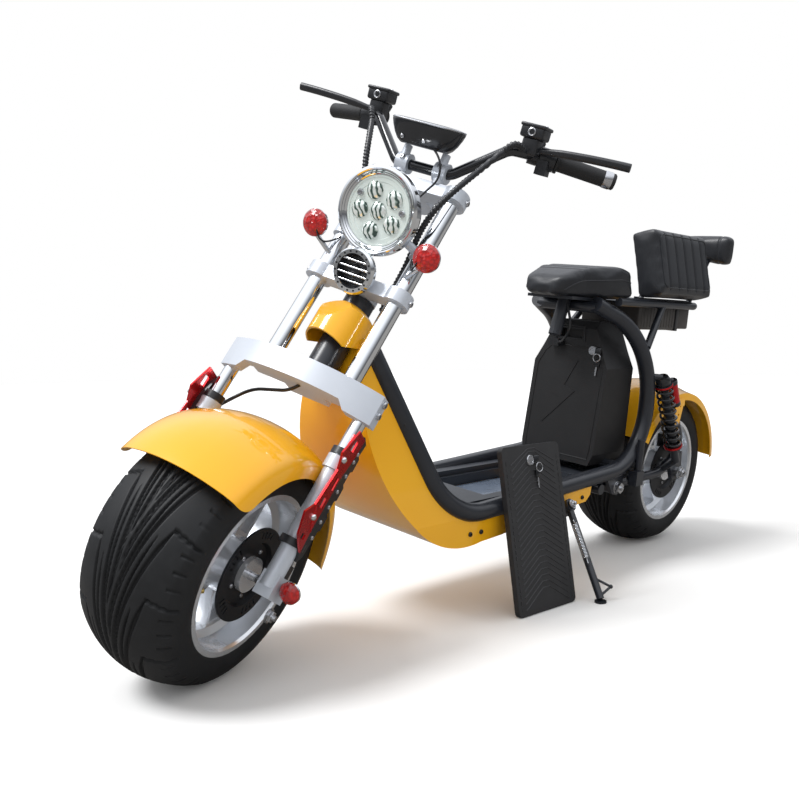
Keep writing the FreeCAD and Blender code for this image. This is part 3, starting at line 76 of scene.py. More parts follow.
# Places
# The scooter is drawn upright, in millimetres from the floor under its rear axle, and then leans on
# its stand; what turns with the fork is drawn along the raked steering axis instead.
LEAN = math.radians(7.0)
RAKE = math.radians(34.2)
STEERED = math.radians(23.0)
CROWN_RADIUS = 0.18
REAR_CONTACT = (-0.150, 0.763)
AXIS_FOOT = -1.696
on_stand = (Matrix.Translation((*REAR_CONTACT, CROWN_RADIUS * (1 - math.cos(LEAN))))
            @ Matrix.Rotation(LEAN, 4, "Y"))
on_steering = (on_stand @ Matrix.Translation((0, AXIS_FOOT, 0)) @ Matrix.Rotation(-RAKE, 4, "X")
               @ Matrix.Rotation(STEERED, 4, "Z"))
unraked = Matrix.Rotation(RAKE, 4, "X")


def bike(x, y, z):
    """A place on the upright scooter."""
    return on_stand @ (Vector((x, y, z)) / 1000)


def fork(x, f, s):
    """A place on the steering: x to its left, f ahead of its axis and s up along it."""
    return on_steering @ (Vector((x, -f, s)) / 1000)


# Tyres
# Two broad low-profile tyres of black rubber, moulded with long grooves that sweep in from the
# shoulders and run together, hooked shoulder cuts and short sipes. Each is pressed on its rim.
TYRE_RADIUS = 0.238
TREAD_HALF = 0.092
SHOULDER_RADIUS = 0.2127
WALL_HALF = 0.1075
WALL_RADIUS = 0.17985
BEAD_HALF = 0.098
BEAD_RADIUS = 0.151
TREAD_STEPS = 470
GROOVE_DEPTH = 0.0062
PATTERN_COUNT = 12
# Each groove of a pattern: its start and length in degrees, inner and outer place, bend and width.
GROOVES = [(-1.0, 84, 0.0040, 0.0605, 1.55, 0.0068), (5.0, 74, 0.0010, 0.0400, 1.45, 0.0040),
           (20.0, 40, 0.0090, 0.0300, 1.25, 0.0036)]
EDGE_WIDTH = 0.0014
HOOK_HALF = 0.0030
HOOK_SPAN = (0.0575, 0.1040)
SIPE_HALF = 0.0012
SIPE_SPAN = (0.084, 0.1005)
FADE_RADIUS = 0.180
FADE_WIDTH = 0.012
RING_RADIUS = 0.158
RING_WIDTH = 0.0012
RING_HEIGHT = 0.0009


class Wire:
    """A shader socket on which sums and products add their own nodes."""

    def __init__(self, tree, socket=None):
        self.tree = tree
        self.socket = socket

    def node(self, kind, settings, inputs, out=0):
        made = self.tree.nodes.new("ShaderNode" + kind)
        for key, value in settings.items():
            if key == "stops":
                ramp = made.color_ramp
                while len(ramp.elements) < len(value):
                    ramp.elements.new(0.5)
                for element, (place, colour) in zip(ramp.elements, value):
                    element.position = place
                    element.color = colour
            else:
                setattr(made, key, value)
        for key, value in inputs.items():
            if isinstance(value, Wire):
                self.tree.links.new(value.socket, made.inputs[key])
            else:
                made.inputs[key].default_value = value
        return Wire(self.tree, made.outputs[out])

    def math(self, operation, first, second):
        return self.node("Math", {"operation": operation}, {0: first, 1: second})

    def __add__(self, other):
        return self.math("ADD", self, other)

    __radd__ = __add__

    def __mul__(self, other):
        return self.math("MULTIPLY", self, other)

    __rmul__ = __mul__

    def tint(self, first, second):
        """Mixes two colours, with this value as the share of the second."""
        return self.node("Mix", {"data_type": "RGBA"}, {0: self, 6: first, 7: second}, 2)


def finish(name, colour, rough, metal=0.0, coat=0.0, coat_rough=0.05):
    """A new material and the shader inputs that its surface detail is joined to."""
    material = bpy.data.materials.new(name)
    material.use_nodes = True
    tree = material.node_tree
    shader = tree.nodes["Principled BSDF"]
    shader.inputs["Base Color"].default_value = (*colour, 1)
    shader.inputs["Roughness"].default_value = rough
    shader.inputs["Metallic"].default_value = metal
    shader.inputs["Coat Weight"].default_value = coat
    shader.inputs["Coat Roughness"].default_value = coat_rough
    place = Wire(tree).node("TexCoord", {}, {}, "Object")
    return material, place, shader


def noise(place, scale, detail=3.0):
    inputs = {"Vector": place, "Scale": scale, "Detail": detail, "Roughness": 0.55}
    return place.node("TexNoise", {}, inputs)


def join(wire, socket):
    wire.tree.links.new(wire.socket, socket)


def bumped(place, shader, height, depth, strength=0.5):
    bump = place.node("Bump", {}, {"Strength": strength, "Distance": depth, "Height": height})
    join(bump, shader.inputs["Normal"])


def tinted(shader, share, dark, light):
    join(share.tint((*dark, 1), (*light, 1)), shader.inputs["Base Color"])


def roughened(shader, share, low, high):
    join(share * (high - low) + low, shader.inputs["Roughness"])


def clouded(place, shader, scale, detail, rough, dark, light):
    """Lets roughness and colour drift together in soft patches over a surface."""
    cloud = noise(place, scale, detail)
    roughened(shader, cloud, *rough)
    tinted(shader, cloud, dark, light)


def dressed(material, *names):
    """Gives CAD nodes their finish."""
    for name in names:
        nodes[name].data.materials.clear()
        nodes[name].data.materials.append(material)


rubber, place, shader = finish("tyre_rubber", (0.006, 0.006, 0.007), 0.55)
shader.inputs["Specular IOR Level"].default_value = 0.35
clouded(place, shader, 38.0, 5.0, (0.42, 0.68), (0.007, 0.0075, 0.0085), (0.019, 0.020, 0.022))
bumped(place, shader, noise(place, 900.0, 2.0), 0.0004, 0.35)


def arc(first, middle, last, count):
    """Points from first to last on the circle through three points of a section."""
    (ax, ay), (bx, by), (cx, cy) = first, middle, last
    aa, bb, cc = ax * ax + ay * ay, bx * bx + by * by, cx * cx + cy * cy
    d = 2 * (ax * (by - cy) + bx * (cy - ay) + cx * (ay - by))
    ox = (aa * (by - cy) + bb * (cy - ay) + cc * (ay - by)) / d
    oy = (aa * (cx - bx) + bb * (ax - cx) + cc * (bx - ax)) / d
    low = math.atan2(ay - oy, ax - ox)
    turn = (math.atan2(cy - oy, cx - ox) - low + math.pi) % (2 * math.pi) - math.pi
    radius = math.hypot(ax - ox, ay - oy)
    return [(ox + radius * math.cos(low + turn * n / count), oy + radius * math.sin(low + turn * n / count))
            for n in range(count + 1)]


def groove(across, along, start, length, inner, outer, bend, width):
    """How deep a swept groove lies at each place, from 0 to 1; along is an angle in degrees."""
    run = (along - start) % 360.0
    share = np.clip(run / length, 0, 1)
    centre = inner + (outer - inner) * (1 - share) ** bend
    slope = (outer - inner) * bend * (1 - share) ** (bend - 1) / (length * math.pi / 180 * TYRE_RADIUS)
    off = np.abs(across - centre) / np.sqrt(1 + slope ** 2)
    half = width / 2 * (1 - 0.45 * share) * np.clip(run / 9.0, 0.15, 1)
    half = half * np.clip((length - run) / 10.0, 0, 1) ** 0.5
    inside = (run > 0) & (run < length)
    return np.where(inside, np.clip((half - off) / 0.0011 + 0.5, 0, 1), 0)


def slit(off, half):
    """How deep a straight cut lies at angles off its middle, from 0 to 1."""
    return np.clip((half - np.abs(off) * math.pi / 180 * TYRE_RADIUS) / EDGE_WIDTH + 0.5, 0, 1)


def tread_depth(across, along):
    """How deep the whole pattern lies, from 0 to 1."""
    depth = np.zeros_like(across)
    pitch = 360.0 / PATTERN_COUNT
    for side in (1, -1):
        x = across * side
        for n in range(PATTERN_COUNT):
            start = pitch * n + (0 if side > 0 else pitch / 2)
            for after, *form in GROOVES:
                depth = np.maximum(depth, groove(x, along, start + after, *form))
            # The hook turns the long groove out over the shoulder, and short sipes follow it.
            rise = (along - start + 180.0) % 360.0 - 180.0
            lean_in = np.clip((x - 0.060) / 0.040, 0, 1) * 2.4
            on_hook = (x > HOOK_SPAN[0]) & (x < HOOK_SPAN[1])
            depth = np.maximum(depth, np.where(on_hook, slit(rise - lean_in, HOOK_HALF), 0))
            on_sipe = (x > SIPE_SPAN[0]) & (x < SIPE_SPAN[1])
            for m in (1, 2, 3):
                off = (along - start - pitch * m / 4 + 180.0) % 360.0 - 180.0
                depth = np.maximum(depth, np.where(on_sipe, slit(off, SIPE_HALF) * 0.8, 0))
    return depth


def wheel_place(joint):
    """The frame of a wheel: X along its axle, Z up and Y towards the back."""
    along = Vector(joint["axis"]).normalized()
    back = Vector((0, 0, 1)).cross(along).normalized()
    frame_of = Matrix((along, back, along.cross(back))).transposed().to_4x4()
    return Matrix.Translation(joint["pos_m"]) @ frame_of


def net(rows, columns, round_rows=False, round_columns=False):
    """The faces of a net of corners, row after row, that may close on itself either way."""
    return [(m * columns + n, m * columns + (n + 1) % columns,
             (m + 1) % rows * columns + (n + 1) % columns, (m + 1) % rows * columns + n)
            for m in range(rows if round_rows else rows - 1)
            for n in range(columns if round_columns else columns - 1)]


tread = arc((-TREAD_HALF, SHOULDER_RADIUS), (0, TYRE_RADIUS), (TREAD_HALF, SHOULDER_RADIUS), 142)
wall = arc((TREAD_HALF, SHOULDER_RADIUS), (WALL_HALF, WALL_RADIUS), (BEAD_HALF, BEAD_RADIUS), 17)
section = np.array([(-x, r) for x, r in reversed(wall[1:])] + tread + wall[1:])
slope = np.gradient(section, axis=0)
slope /= np.linalg.norm(slope, axis=1)[:, None]
outward = np.stack([-slope[:, 1], slope[:, 0]], axis=1)
turns = np.linspace(0, 360, TREAD_STEPS, endpoint=False)
along, across = np.meshgrid(turns, section[:, 0], indexing="ij")
depth = tread_depth(across, along) * GROOVE_DEPTH
depth = depth * np.clip((section[:, 1] - FADE_RADIUS) / FADE_WIDTH, 0, 1)[None, :]
# A thin ring stands up round the wall just outside the bead.
ridge = np.exp(-((section[:, 1] - RING_RADIUS) / RING_WIDTH) ** 2) * RING_HEIGHT
shape_x = section[None, :, 0] - outward[None, :, 0] * (depth - ridge[None, :])
shape_r = section[None, :, 1] - outward[None, :, 1] * (depth - ridge[None, :])
angle = np.radians(along)
corners = np.stack([shape_x, -shape_r * np.sin(angle), shape_r * np.cos(angle)], axis=2).reshape(-1, 3)
tyre_mesh = bpy.data.meshes.new("treaded_tyre")
tyre_mesh.from_pydata(corners.tolist(), [], net(TREAD_STEPS, len(section), round_rows=True))
tyre_mesh.shade_smooth()
tyre_mesh.materials.append(rubber)
for end in ("front", "rear"):
    mesh = tyre_mesh.copy()
    mesh.transform(wheel_place(joints[end + "_wheel_spin"]))
    tyre = bpy.data.objects.new(end + "_treaded_tyre", mesh)
    scene.collection.objects.link(tyre)
    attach(tyre, end + "_wheel")
    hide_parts(end + "_tyre")

# Rims and discs
# Cast aluminium wheels with a polished barrel, turned on a lathe after casting, each with a rubber
# valve in its barrel and a black slotted disc bolted to the hub.
polished, place, shader = finish("turned_aluminium", (0.84, 0.86, 0.89), 0.2, metal=0.72)
clouded(place, shader, 22.0, 4.0, (0.10, 0.34), (0.80, 0.83, 0.87), (0.93, 0.94, 0.96))
bumped(place, shader, noise(place, 260.0, 2.0), 0.0003, 0.25)
disc_black, place, shader = finish("blackened_steel", (0.022, 0.023, 0.026), 0.42, metal=0.6)
clouded(place, shader, 60.0, 4.0, (0.30, 0.55), (0.016, 0.017, 0.020), (0.040, 0.041, 0.045))
bolt_steel, place, shader = finish("zinc_plated_steel", (0.62, 0.63, 0.65), 0.25, metal=1.0)
roughened(shader, noise(place, 120.0), 0.15, 0.4)
brass, place, shader = finish("valve_brass", (0.70, 0.50, 0.16), 0.25, metal=1.0)
roughened(shader, noise(place, 150.0), 0.18, 0.4)
dressed(polished, "front_rim", "rear_rim")
dressed(disc_black, "front_disc", "rear_disc")


class Form:
    """The corners and faces of a shape before it becomes a piece."""

    def __init__(self, corners=(), faces=()):
        self.corners = list(corners)
        self.faces = list(faces)

    def placed(self, matrix):
        return Form([matrix @ Vector(c) for c in self.corners], self.faces)

    def __add__(self, other):
        step = len(self.corners)
        return Form(self.corners + other.corners,
                    self.faces + [tuple(n + step for n in face) for face in other.faces])

    def piece(self, name, material, body, slot, sharp=35.0):
        mesh = bpy.data.meshes.new(name)
        mesh.from_pydata([tuple(c) for c in self.corners], [], self.faces)
        tidy = bmesh.new()
        tidy.from_mesh(mesh)
        bmesh.ops.remove_doubles(tidy, verts=tidy.verts, dist=1e-6)
        bmesh.ops.recalc_face_normals(tidy, faces=tidy.faces)
        tidy.to_mesh(mesh)
        tidy.free()
        mesh.shade_smooth()
        mesh.set_sharp_from_angle(angle=math.radians(sharp))
        mesh.materials.append(material)
        made = bpy.data.objects.new(name, mesh)
        scene.collection.objects.link(made)
        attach(made, body)
        return made


def copies(form, places):
    """A form at each of several places."""
    made = Form()
    for place in places:
        made += form.placed(place)
    return made


def round_point(x, radius, angle):
    """A place along X, out at a radius and turned by an angle from Z towards Y."""
    return Vector((x, radius * math.sin(angle), radius * math.cos(angle)))


def lathe(rings, steps=28):
    """A turned form from (x, radius) rings about X; a third value makes a ring that many-sided."""
    corners = []
    for x, radius, *sides in rings:
        for n in range(steps):
            a = 2 * math.pi * n / steps
            r = radius
            if sides:
                part = 2 * math.pi / sides[0]
                r = radius * math.cos(part / 2) / math.cos(a % part - part / 2)
            corners.append(round_point(x, r, a))
    return Form(corners, net(len(rings), steps, round_columns=True))


def looking(at, direction):
    """A place whose X axis looks along a direction."""
    return Matrix.Translation(at) @ Vector(direction).to_track_quat("X", "Z").to_matrix().to_4x4()


def socket_screw(radius):
    """A domed screw head with a six-sided socket, standing on a face."""
    return lathe([(-0.001, radius * 0.98), (radius * 0.45, radius), (radius * 0.72, radius * 0.82),
                  (radius * 0.78, radius * 0.55), (radius * 0.76, radius * 0.5, 6),
                  (radius * 0.25, radius * 0.46, 6), (radius * 0.25, 0)], 24)


def hex_nut(radius, height):
    """A six-sided nut on its washer, with the bolt's end standing out of it."""
    return lathe([(-0.001, radius * 1.25), (radius * 0.15, radius * 1.25), (radius * 0.15, radius * 0.9, 6),
                  (radius * 0.18, radius, 6), (height - radius * 0.1, radius, 6), (height, radius * 0.9, 6),
                  (height, radius * 0.5), (height + radius * 0.5, radius * 0.48),
                  (height + radius * 0.55, radius * 0.4), (height + radius * 0.55, 0)], 24)


DISC_SCREWS = 5
DISC_SCREW_PLACE = (0.090, 0.044)
VALVE_PLACE = (0.052, 0.1295)
VALVE_ANGLE = -1.75
VALVE_TILT = 0.55
sleeve = lathe([(-0.004, 0.009), (0.004, 0.0088), (0.009, 0.0062), (0.020, 0.0054), (0.022, 0.0)])
stem = lathe([(0.018, 0.0028), (0.030, 0.0028), (0.030, 0.0042), (0.040, 0.0042), (0.041, 0.0034),
              (0.041, 0.0)])
inward = round_point(VALVE_TILT, -1, VALVE_ANGLE).normalized()
valve = looking(round_point(*VALVE_PLACE, VALVE_ANGLE), inward)
for end in ("front", "rear"):
    hub = wheel_place(joints[end + "_wheel_spin"])
    seats = [round_point(*DISC_SCREW_PLACE, 2 * math.pi * (n + 0.5) / DISC_SCREWS)
             for n in range(DISC_SCREWS)]
    screws = copies(socket_screw(0.0042), [looking(seat, (1, 0, 0)) for seat in seats])
    screws.placed(hub).piece(end + "_disc_screws", bolt_steel, end + "_wheel", "disc_steel")
    sleeve.placed(hub @ valve).piece(end + "_valve_base", rubber, end + "_wheel", "tyre")
    stem.placed(hub @ valve).piece(end + "_valve_stem", brass, end + "_wheel", "disc_steel")

# Fork
# Chromed upper tubes in cast silver yokes, a bowed cast yoke below them, and painted sliders. The
# yokes are pinched on the tubes by socket screws.
chrome, place, shader = finish("chrome_plate", (0.86, 0.88, 0.90), 0.05, metal=1.0)
clouded(place, shader, 14.0, 2.0, (0.03, 0.10), (0.80, 0.83, 0.86), (0.92, 0.93, 0.94))
cast_silver, place, shader = finish("silver_cast", (0.58, 0.62, 0.69), 0.38, metal=0.3, coat=0.25,
                                    coat_rough=0.2)
roughened(shader, noise(place, 700.0, 2.0), 0.30, 0.46)
tinted(shader, noise(place, 12.0), (0.52, 0.56, 0.63), (0.65, 0.69, 0.75))
bumped(place, shader, noise(place, 450.0, 2.0), 0.0003, 0.25)
dressed(chrome, "fork_tubes")
dressed(cast_silver, "fork_clamps", "fork_arch", "fork_sliders", "bar_risers", "lamp_ears")
dressed(bolt_steel, "front_axle")
forward = (on_steering.to_3x3() @ Vector((0, -1, 0))).normalized()
leftward = (on_steering.to_3x3() @ Vector((1, 0, 0))).normalized()


def outward_at(side, x, f, s):
    """A place on either side of the fork, looking out to that side."""
    return looking(fork(side * x, f, s), leftward * side)


# Each yoke screw: its head's radius and its place on the left.
YOKE_SCREWS = [(0.0065, 119.5, 36, 867), (0.0065, 119.5, 36, 1119), (0.0075, 174.5, 36, 632),
               (0.0075, 174.5, 36, 656)]
screws = Form()
nuts = Form()
for side in (-1, 1):
    for radius, *at in YOKE_SCREWS:
        screws += socket_screw(radius).placed(outward_at(side, *at))
    screws += socket_screw(0.006).placed(looking(fork(side * 45, 76, 1160), forward))
    nuts += hex_nut(0.011, 0.009).placed(outward_at(side, 168.6, 18, 228.6))
screws.piece("yoke_screws", bolt_steel, "fork", "disc_steel")
nuts.piece("axle_end_nuts", bolt_steel, "fork", "disc_steel")

# Leg guards
# Red anodised plates bolted to a black rail beside each slider, with windows, raised ribs and
# chromed dome bolts.
red_metal, place, shader = finish("red_anodised", (0.60, 0.004, 0.008), 0.28, metal=0.75, coat=0.6)
clouded(place, shader, 40.0, 3.0, (0.20, 0.36), (0.50, 0.003, 0.006), (0.74, 0.010, 0.014))
black_satin, place, shader = finish("black_satin", (0.011, 0.012, 0.014), 0.38, coat=0.25, coat_rough=0.25)
clouded(place, shader, 26.0, 4.0, (0.30, 0.46), (0.008, 0.009, 0.011), (0.018, 0.019, 0.023))
bumped(place, shader, noise(place, 520.0, 2.0), 0.0003, 0.2)
dressed(red_metal, "leg_guards")
dressed(black_satin, "guard_rails", "front_caliper", "rear_caliper")
GUARD_FACE = 177.1
RAIL_FACE = 173.2
RIB_RADIUS = 0.0012
dome_bolt = lathe([(-0.001, 0.0062), (0.002, 0.0062), (0.0045, 0.005), (0.006, 0.0028), (0.0065, 0)])
rivet = lathe([(-0.001, 0.0042), (0.001, 0.0042), (0.0022, 0.0032), (0.0014, 0.0018), (0.0014, 0)])
bolts = copies(dome_bolt, [outward_at(side, GUARD_FACE + 0.1, f, s)
                           for side in (-1, 1) for f, s in ((80, 522), (76, 409))])
rivets = copies(rivet, [outward_at(side, RAIL_FACE, 28, s)
                        for side in (-1, 1) for s in (552, 536, 506, 474, 442, 412, 380)])
ribs = Form()
for side in (-1, 1):
    for n in range(3):
        foot = fork(side * GUARD_FACE, 88 - n * 7, 430 - n * 4)
        run = fork(side * GUARD_FACE, 66 - n * 6, 396 - n * 5) - foot
        rib = lathe([(0, 0), (0, RIB_RADIUS), (run.length, RIB_RADIUS), (run.length, 0)], 10)
        ribs += rib.placed(looking(foot, run))
bolts.piece("guard_bolts", chrome, "fork", "chrome")
rivets.piece("guard_rivets", bolt_steel, "fork", "disc_steel")
ribs.piece("guard_ribs", red_metal, "fork", "red_metal")

# Painted panels
# Pressed fenders, the hull below the neck, the belly tray and the neck cowl, all in golden yellow
# under a clear coat. They are screwed to the frame with small black socket screws.
yellow, place, shader = finish("golden_paint", (0.96, 0.47, 0.010), 0.30, coat=1.0, coat_rough=0.03)
shader.inputs["Specular IOR Level"].default_value = 0.2
tinted(shader, noise(place, 5.0, 2.0), (0.95, 0.43, 0.006), (0.98, 0.51, 0.012))
roughened(shader, noise(place, 300.0, 2.0), 0.26, 0.36)
bumped(place, shader, noise(place, 95.0, 1.0), 0.0004, 0.06)
dressed(yellow, "rear_fender", "front_apron", "belly_panel", "neck_cover")
# The front fender's outer half section, from its skirt up to its crown, and how far it reaches.
FENDER_SECTION = [(0.1332, 0.200), (0.1315, 0.218), (0.1280, 0.2297), (0.1130, 0.2400), (0.0960, 0.2480),
                  (0.0650, 0.2578), (0.0330, 0.2640), (0, 0.2660)]
FENDER_AHEAD = 35.5
FENDER_BEHIND = 104.0
FENDER_RADIUS = 0.24
FENDER_SHEET = 0.0026
CORNER = 0.030
CORNER_SPAN = 7.2
CORNER_STEPS = 8
ACROSS = 57
half = np.array(FENDER_SECTION)
whole = np.vstack([half, half[-2::-1] * (-1, 1)])
run = np.concatenate([[0], np.cumsum(np.linalg.norm(np.diff(whole, axis=0), axis=1))])
fine = np.linspace(0, run[-1], 161)
whole = np.stack([np.interp(fine, run, whole[:, n]) for n in (0, 1)], axis=1)
for n in range(40):
    whole[1:-1] = (whole[:-2] + 2 * whole[1:-1] + whole[2:]) / 4
reach = run[-1] / 2


def hood_point(share, angle, inset):
    """A place on the hood: share runs from -1 to 1 across it and angle ahead of its top."""
    end = min(math.radians(FENDER_AHEAD - angle), math.radians(angle + FENDER_BEHIND)) * FENDER_RADIUS
    short = CORNER - math.sqrt(max(0, CORNER ** 2 - max(0, CORNER - end) ** 2))
    along = reach + share * (reach - short - inset)
    x, r = (np.interp(along, fine, whole[:, n]) for n in (0, 1))
    a = math.radians(angle)
    return Vector((x, -(r - inset) * math.sin(a), (r - inset) * math.cos(a)))


ends = [math.degrees(CORNER / FENDER_RADIUS) * (1 - math.cos(math.pi / 2 * n / CORNER_STEPS))
        for n in range(CORNER_STEPS)]
steps = ([FENDER_AHEAD - 0.02 - e for e in ends]
         + list(np.linspace(FENDER_AHEAD - CORNER_SPAN, CORNER_SPAN - FENDER_BEHIND, 76))
         + [e - FENDER_BEHIND + 0.02 for e in reversed(ends)])
hood = Form()
for inset in (0.0, FENDER_SHEET):
    skin = [hood_point(2 * n / (ACROSS - 1) - 1, angle, inset) for angle in steps for n in range(ACROSS)]
    hood += Form(skin, net(len(steps), ACROSS))
# The edges of the outer and inner skin are joined all round.
layer = ACROSS * len(steps)
outline = list(range(0, layer, ACROSS)) + list(range(layer - ACROSS + 1, layer))
outline += list(range(layer - ACROSS - 1, 0, -ACROSS)) + list(range(ACROSS - 2, 0, -1))
hood.faces += [(a, b, b + layer, a + layer) for a, b in zip(outline, outline[1:] + outline[:1])]
hood_place = on_steering @ Matrix.Translation((0, -0.018, 0.2741)) @ unraked
hood = hood.placed(hood_place).piece("front_fender_hood", yellow, "fork", "yellow_paint", 50.0)
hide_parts("front_fender")
# Each screw's place on the left of the upright scooter; it looks out to its side.
PANEL_SCREWS = [(154, -985, 214), (154, -948, 214), (154, -700, 222), (154, -548, 238), (112, -1172, 466),
                (86, -1220, 562)]
side_way = on_stand.to_3x3() @ Vector((1, 0, 0))
screws = copies(socket_screw(0.0055), [looking(bike(x * side, y, z), side_way * side)
                                       for x, y, z in PANEL_SCREWS for side in (-1, 1)])
screws.piece("panel_screws", black_satin, "chassis", "frame_black")

# Frame
# Bent steel tubes, powder coated in satin black, from the neck under the deck and up to the seat,
# with the cross tubes, the pivot plates and the rear arms.
coated, place, shader = finish("powder_coat", (0.012, 0.014, 0.019), 0.34, coat=0.35, coat_rough=0.2)
clouded(place, shader, 18.0, 4.0, (0.26, 0.42), (0.009, 0.011, 0.016), (0.020, 0.023, 0.031))
bumped(place, shader, noise(place, 380.0, 2.0), 0.0003, 0.25)
dressed(coated, "frame_rails", "head_tube", "cross_tubes", "seat_support", "swingarm", "rack",
        "stand_bracket", "side_stand", "foot_pegs", "shock_dampers")
dressed(bolt_steel, "axle_bolts")

# Deck
# A moulded footboard in dark plastic lies between the frame rails, with a hatch over the well of
# the floor battery. The battery shows its glossy blue-grey cover.
board, place, shader = finish("deck_plastic", (0.020, 0.023, 0.030), 0.42, coat=0.15, coat_rough=0.3)
clouded(place, shader, 30.0, 4.0, (0.34, 0.52), (0.015, 0.018, 0.024), (0.030, 0.034, 0.043))
bumped(place, shader, noise(place, 650.0, 2.0), 0.0004, 0.4)
dressed(board, "deck")
cell, place, shader = finish("battery_cover", (0.16, 0.20, 0.27), 0.16, coat=0.6)
tinted(shader, noise(place, 16.0), (0.10, 0.13, 0.19), (0.24, 0.29, 0.37))
roughened(shader, noise(place, 90.0), 0.10, 0.25)
dressed(cell, "deck_battery")

# Lamps and horn
# A chromed headlight bowl with six faceted lamps on a pale plate, a chromed horn with a barred
# mouth, and red faceted marker lamps on chromed stalks.
ruby, place, shader = finish("red_lens", (0.62, 0.006, 0.008), 0.08, coat=1.0)
# The same cells bump the facets and paint them bright red at their middles and darker red towards their
# edges, as painted light and shade across the facets.
facet_bump_and_shade = place.node("TexVoronoi", {}, {"Vector": place, "Scale": 130.0})
tinted(shader, facet_bump_and_shade, (0.66, 0.012, 0.008), (0.22, 0.001, 0.002))
bumped(place, shader, facet_bump_and_shade, 0.003, 0.7)
dressed(chrome, "headlight", "horn", "marker_cups")
dressed(ruby, "marker_lenses")
pale, place, shader = finish("pale_reflector", (0.70, 0.78, 0.75), 0.14, coat=1.0)
tinted(shader, noise(place, 20.0), (0.62, 0.71, 0.68), (0.80, 0.87, 0.84))
cut_glass, place, shader = finish("cut_glass", (0.8, 0.9, 0.86), 0.10, metal=0.45)
# The domes' colour runs in wavy stripes from near black to white: painted reflections of their cut facets.
inputs = {"Vector": place, "Scale": 34.0, "Distortion": 9.0}
painted_reflection_bands = place.node("TexWave", {"bands_direction": "X"}, inputs, 1)
GLASS_REFLECTION_STOPS = [(0.12, (0.07, 0.11, 0.095, 1)), (0.34, (0.42, 0.54, 0.48, 1)), (0.60, (0.95, 1.0, 0.97, 1))]
join(painted_reflection_bands.node("ValToRGB", {"stops": GLASS_REFLECTION_STOPS}, {0: painted_reflection_bands}), shader.inputs["Base Color"])


def ahead_place(f, s):
    """A level place on the fork whose X axis looks straight ahead."""
    return (on_steering @ Matrix.Translation((0, -f / 1000, s / 1000)) @ unraked
            @ Matrix.Rotation(math.radians(-90), 4, "Z"))


def faceted_dome(radius, height, sides=9, rows=4):
    """A low dome of flat facets about X."""
    corners = []
    for m in range(rows):
        rise = m / rows * math.pi / 2
        for n in range(sides):
            a = 2 * math.pi * (n + m / 2) / sides
            corners.append(round_point(height * math.sin(rise), radius * math.cos(rise), a))
    corners.append((height, 0, 0))
    faces = []
    for m in range(rows - 1):
        for n in range(sides):
            after = (n + 1) % sides
            faces.append((m * sides + n, m * sides + after, (m + 1) * sides + n))
            faces.append((m * sides + after, (m + 1) * sides + after, (m + 1) * sides + n))
    top = (rows - 1) * sides
    faces += [(top + n, top + (n + 1) % sides, len(corners) - 1) for n in range(sides)]
    return Form(corners, faces)


def ringed(form, x, radius, degrees):
    """A form at several angles round X."""
    return copies(form, [Matrix.Translation(round_point(x, radius, math.radians(turn)))
                         for turn in degrees])


lamp_place = ahead_place(122, 994)
plate = lathe([(-0.004, 0.0698), (-0.001, 0.0698), (0.0005, 0.0690), (0.0005, 0.0655), (-0.0008, 0.0645),
               (-0.0008, 0.0560), (-0.0016, 0.0552), (-0.0016, 0.0)], 64)
plate = plate.placed(lamp_place).piece("lamp_plate", pale, "fork", "clear_lens")
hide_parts("headlight_lens")
dome = faceted_dome(0.0185, 0.0085)
domes = dome + ringed(dome, 0, 0.0410, range(-26, 330, 72))
domes = domes.placed(lamp_place @ Matrix.Translation((-0.0012, 0, 0)))
domes.piece("lamp_domes", cut_glass, "fork", "clear_lens", 5.0)
screws = ringed(socket_screw(0.0068), -0.001, 0.0535, (-62, 82))
screws.placed(lamp_place).piece("lamp_screws", bolt_steel, "fork", "disc_steel")
bezel = lathe([(0.0002, 0.0712), (0.0035, 0.0738), (0.0035, 0.0752), (0.0066, 0.0775), (0.0066, 0.0790),
               (0.0085, 0.0815), (0.0075, 0.0840), (0.0030, 0.0868)], 72)
bezel.placed(lamp_place).piece("lamp_bezel", chrome, "fork", "chrome")
horn_place = ahead_place(90, 869)
throat = lathe([(-0.0008, 0.0340), (-0.0090, 0.0308), (-0.0154, 0.0283), (-0.0154, 0.0130),
                (-0.0120, 0.0110), (-0.0105, 0.0060), (-0.0100, 0.0)], 40)
throat.placed(horn_place).piece("horn_throat", black_satin, "fork", "frame_black")
hole = lathe([(0.0004, 0.0022), (0.0006, 0.0014), (0.0003, 0.0)], 10)
ringed(hole, 0, 0.0385, range(0, 360, 20)).placed(horn_place).piece(
    "horn_holes", black_satin, "fork", "frame_black")

# Handlebar
# A wide black bar with rubber grips, switch pods, brake levers with their fluid reservoirs, mirror
# bosses and a round-cornered instrument.
gloss_black, place, shader = finish("gloss_black", (0.008, 0.009, 0.011), 0.16, coat=0.5)
clouded(place, shader, 50.0, 3.0, (0.12, 0.26), (0.006, 0.007, 0.009), (0.014, 0.015, 0.018))
dressed(gloss_black, "handlebar")
dressed(black_satin, "switch_pods", "mirror_bosses")
grip_rubber, place, shader = finish("grip_rubber", (0.012, 0.012, 0.013), 0.6)
roughened(shader, noise(place, 60.0), 0.5, 0.72)
bumped(place, shader, noise(place, 500.0, 2.0), 0.0005, 0.4)
dressed(grip_rubber, "grips")


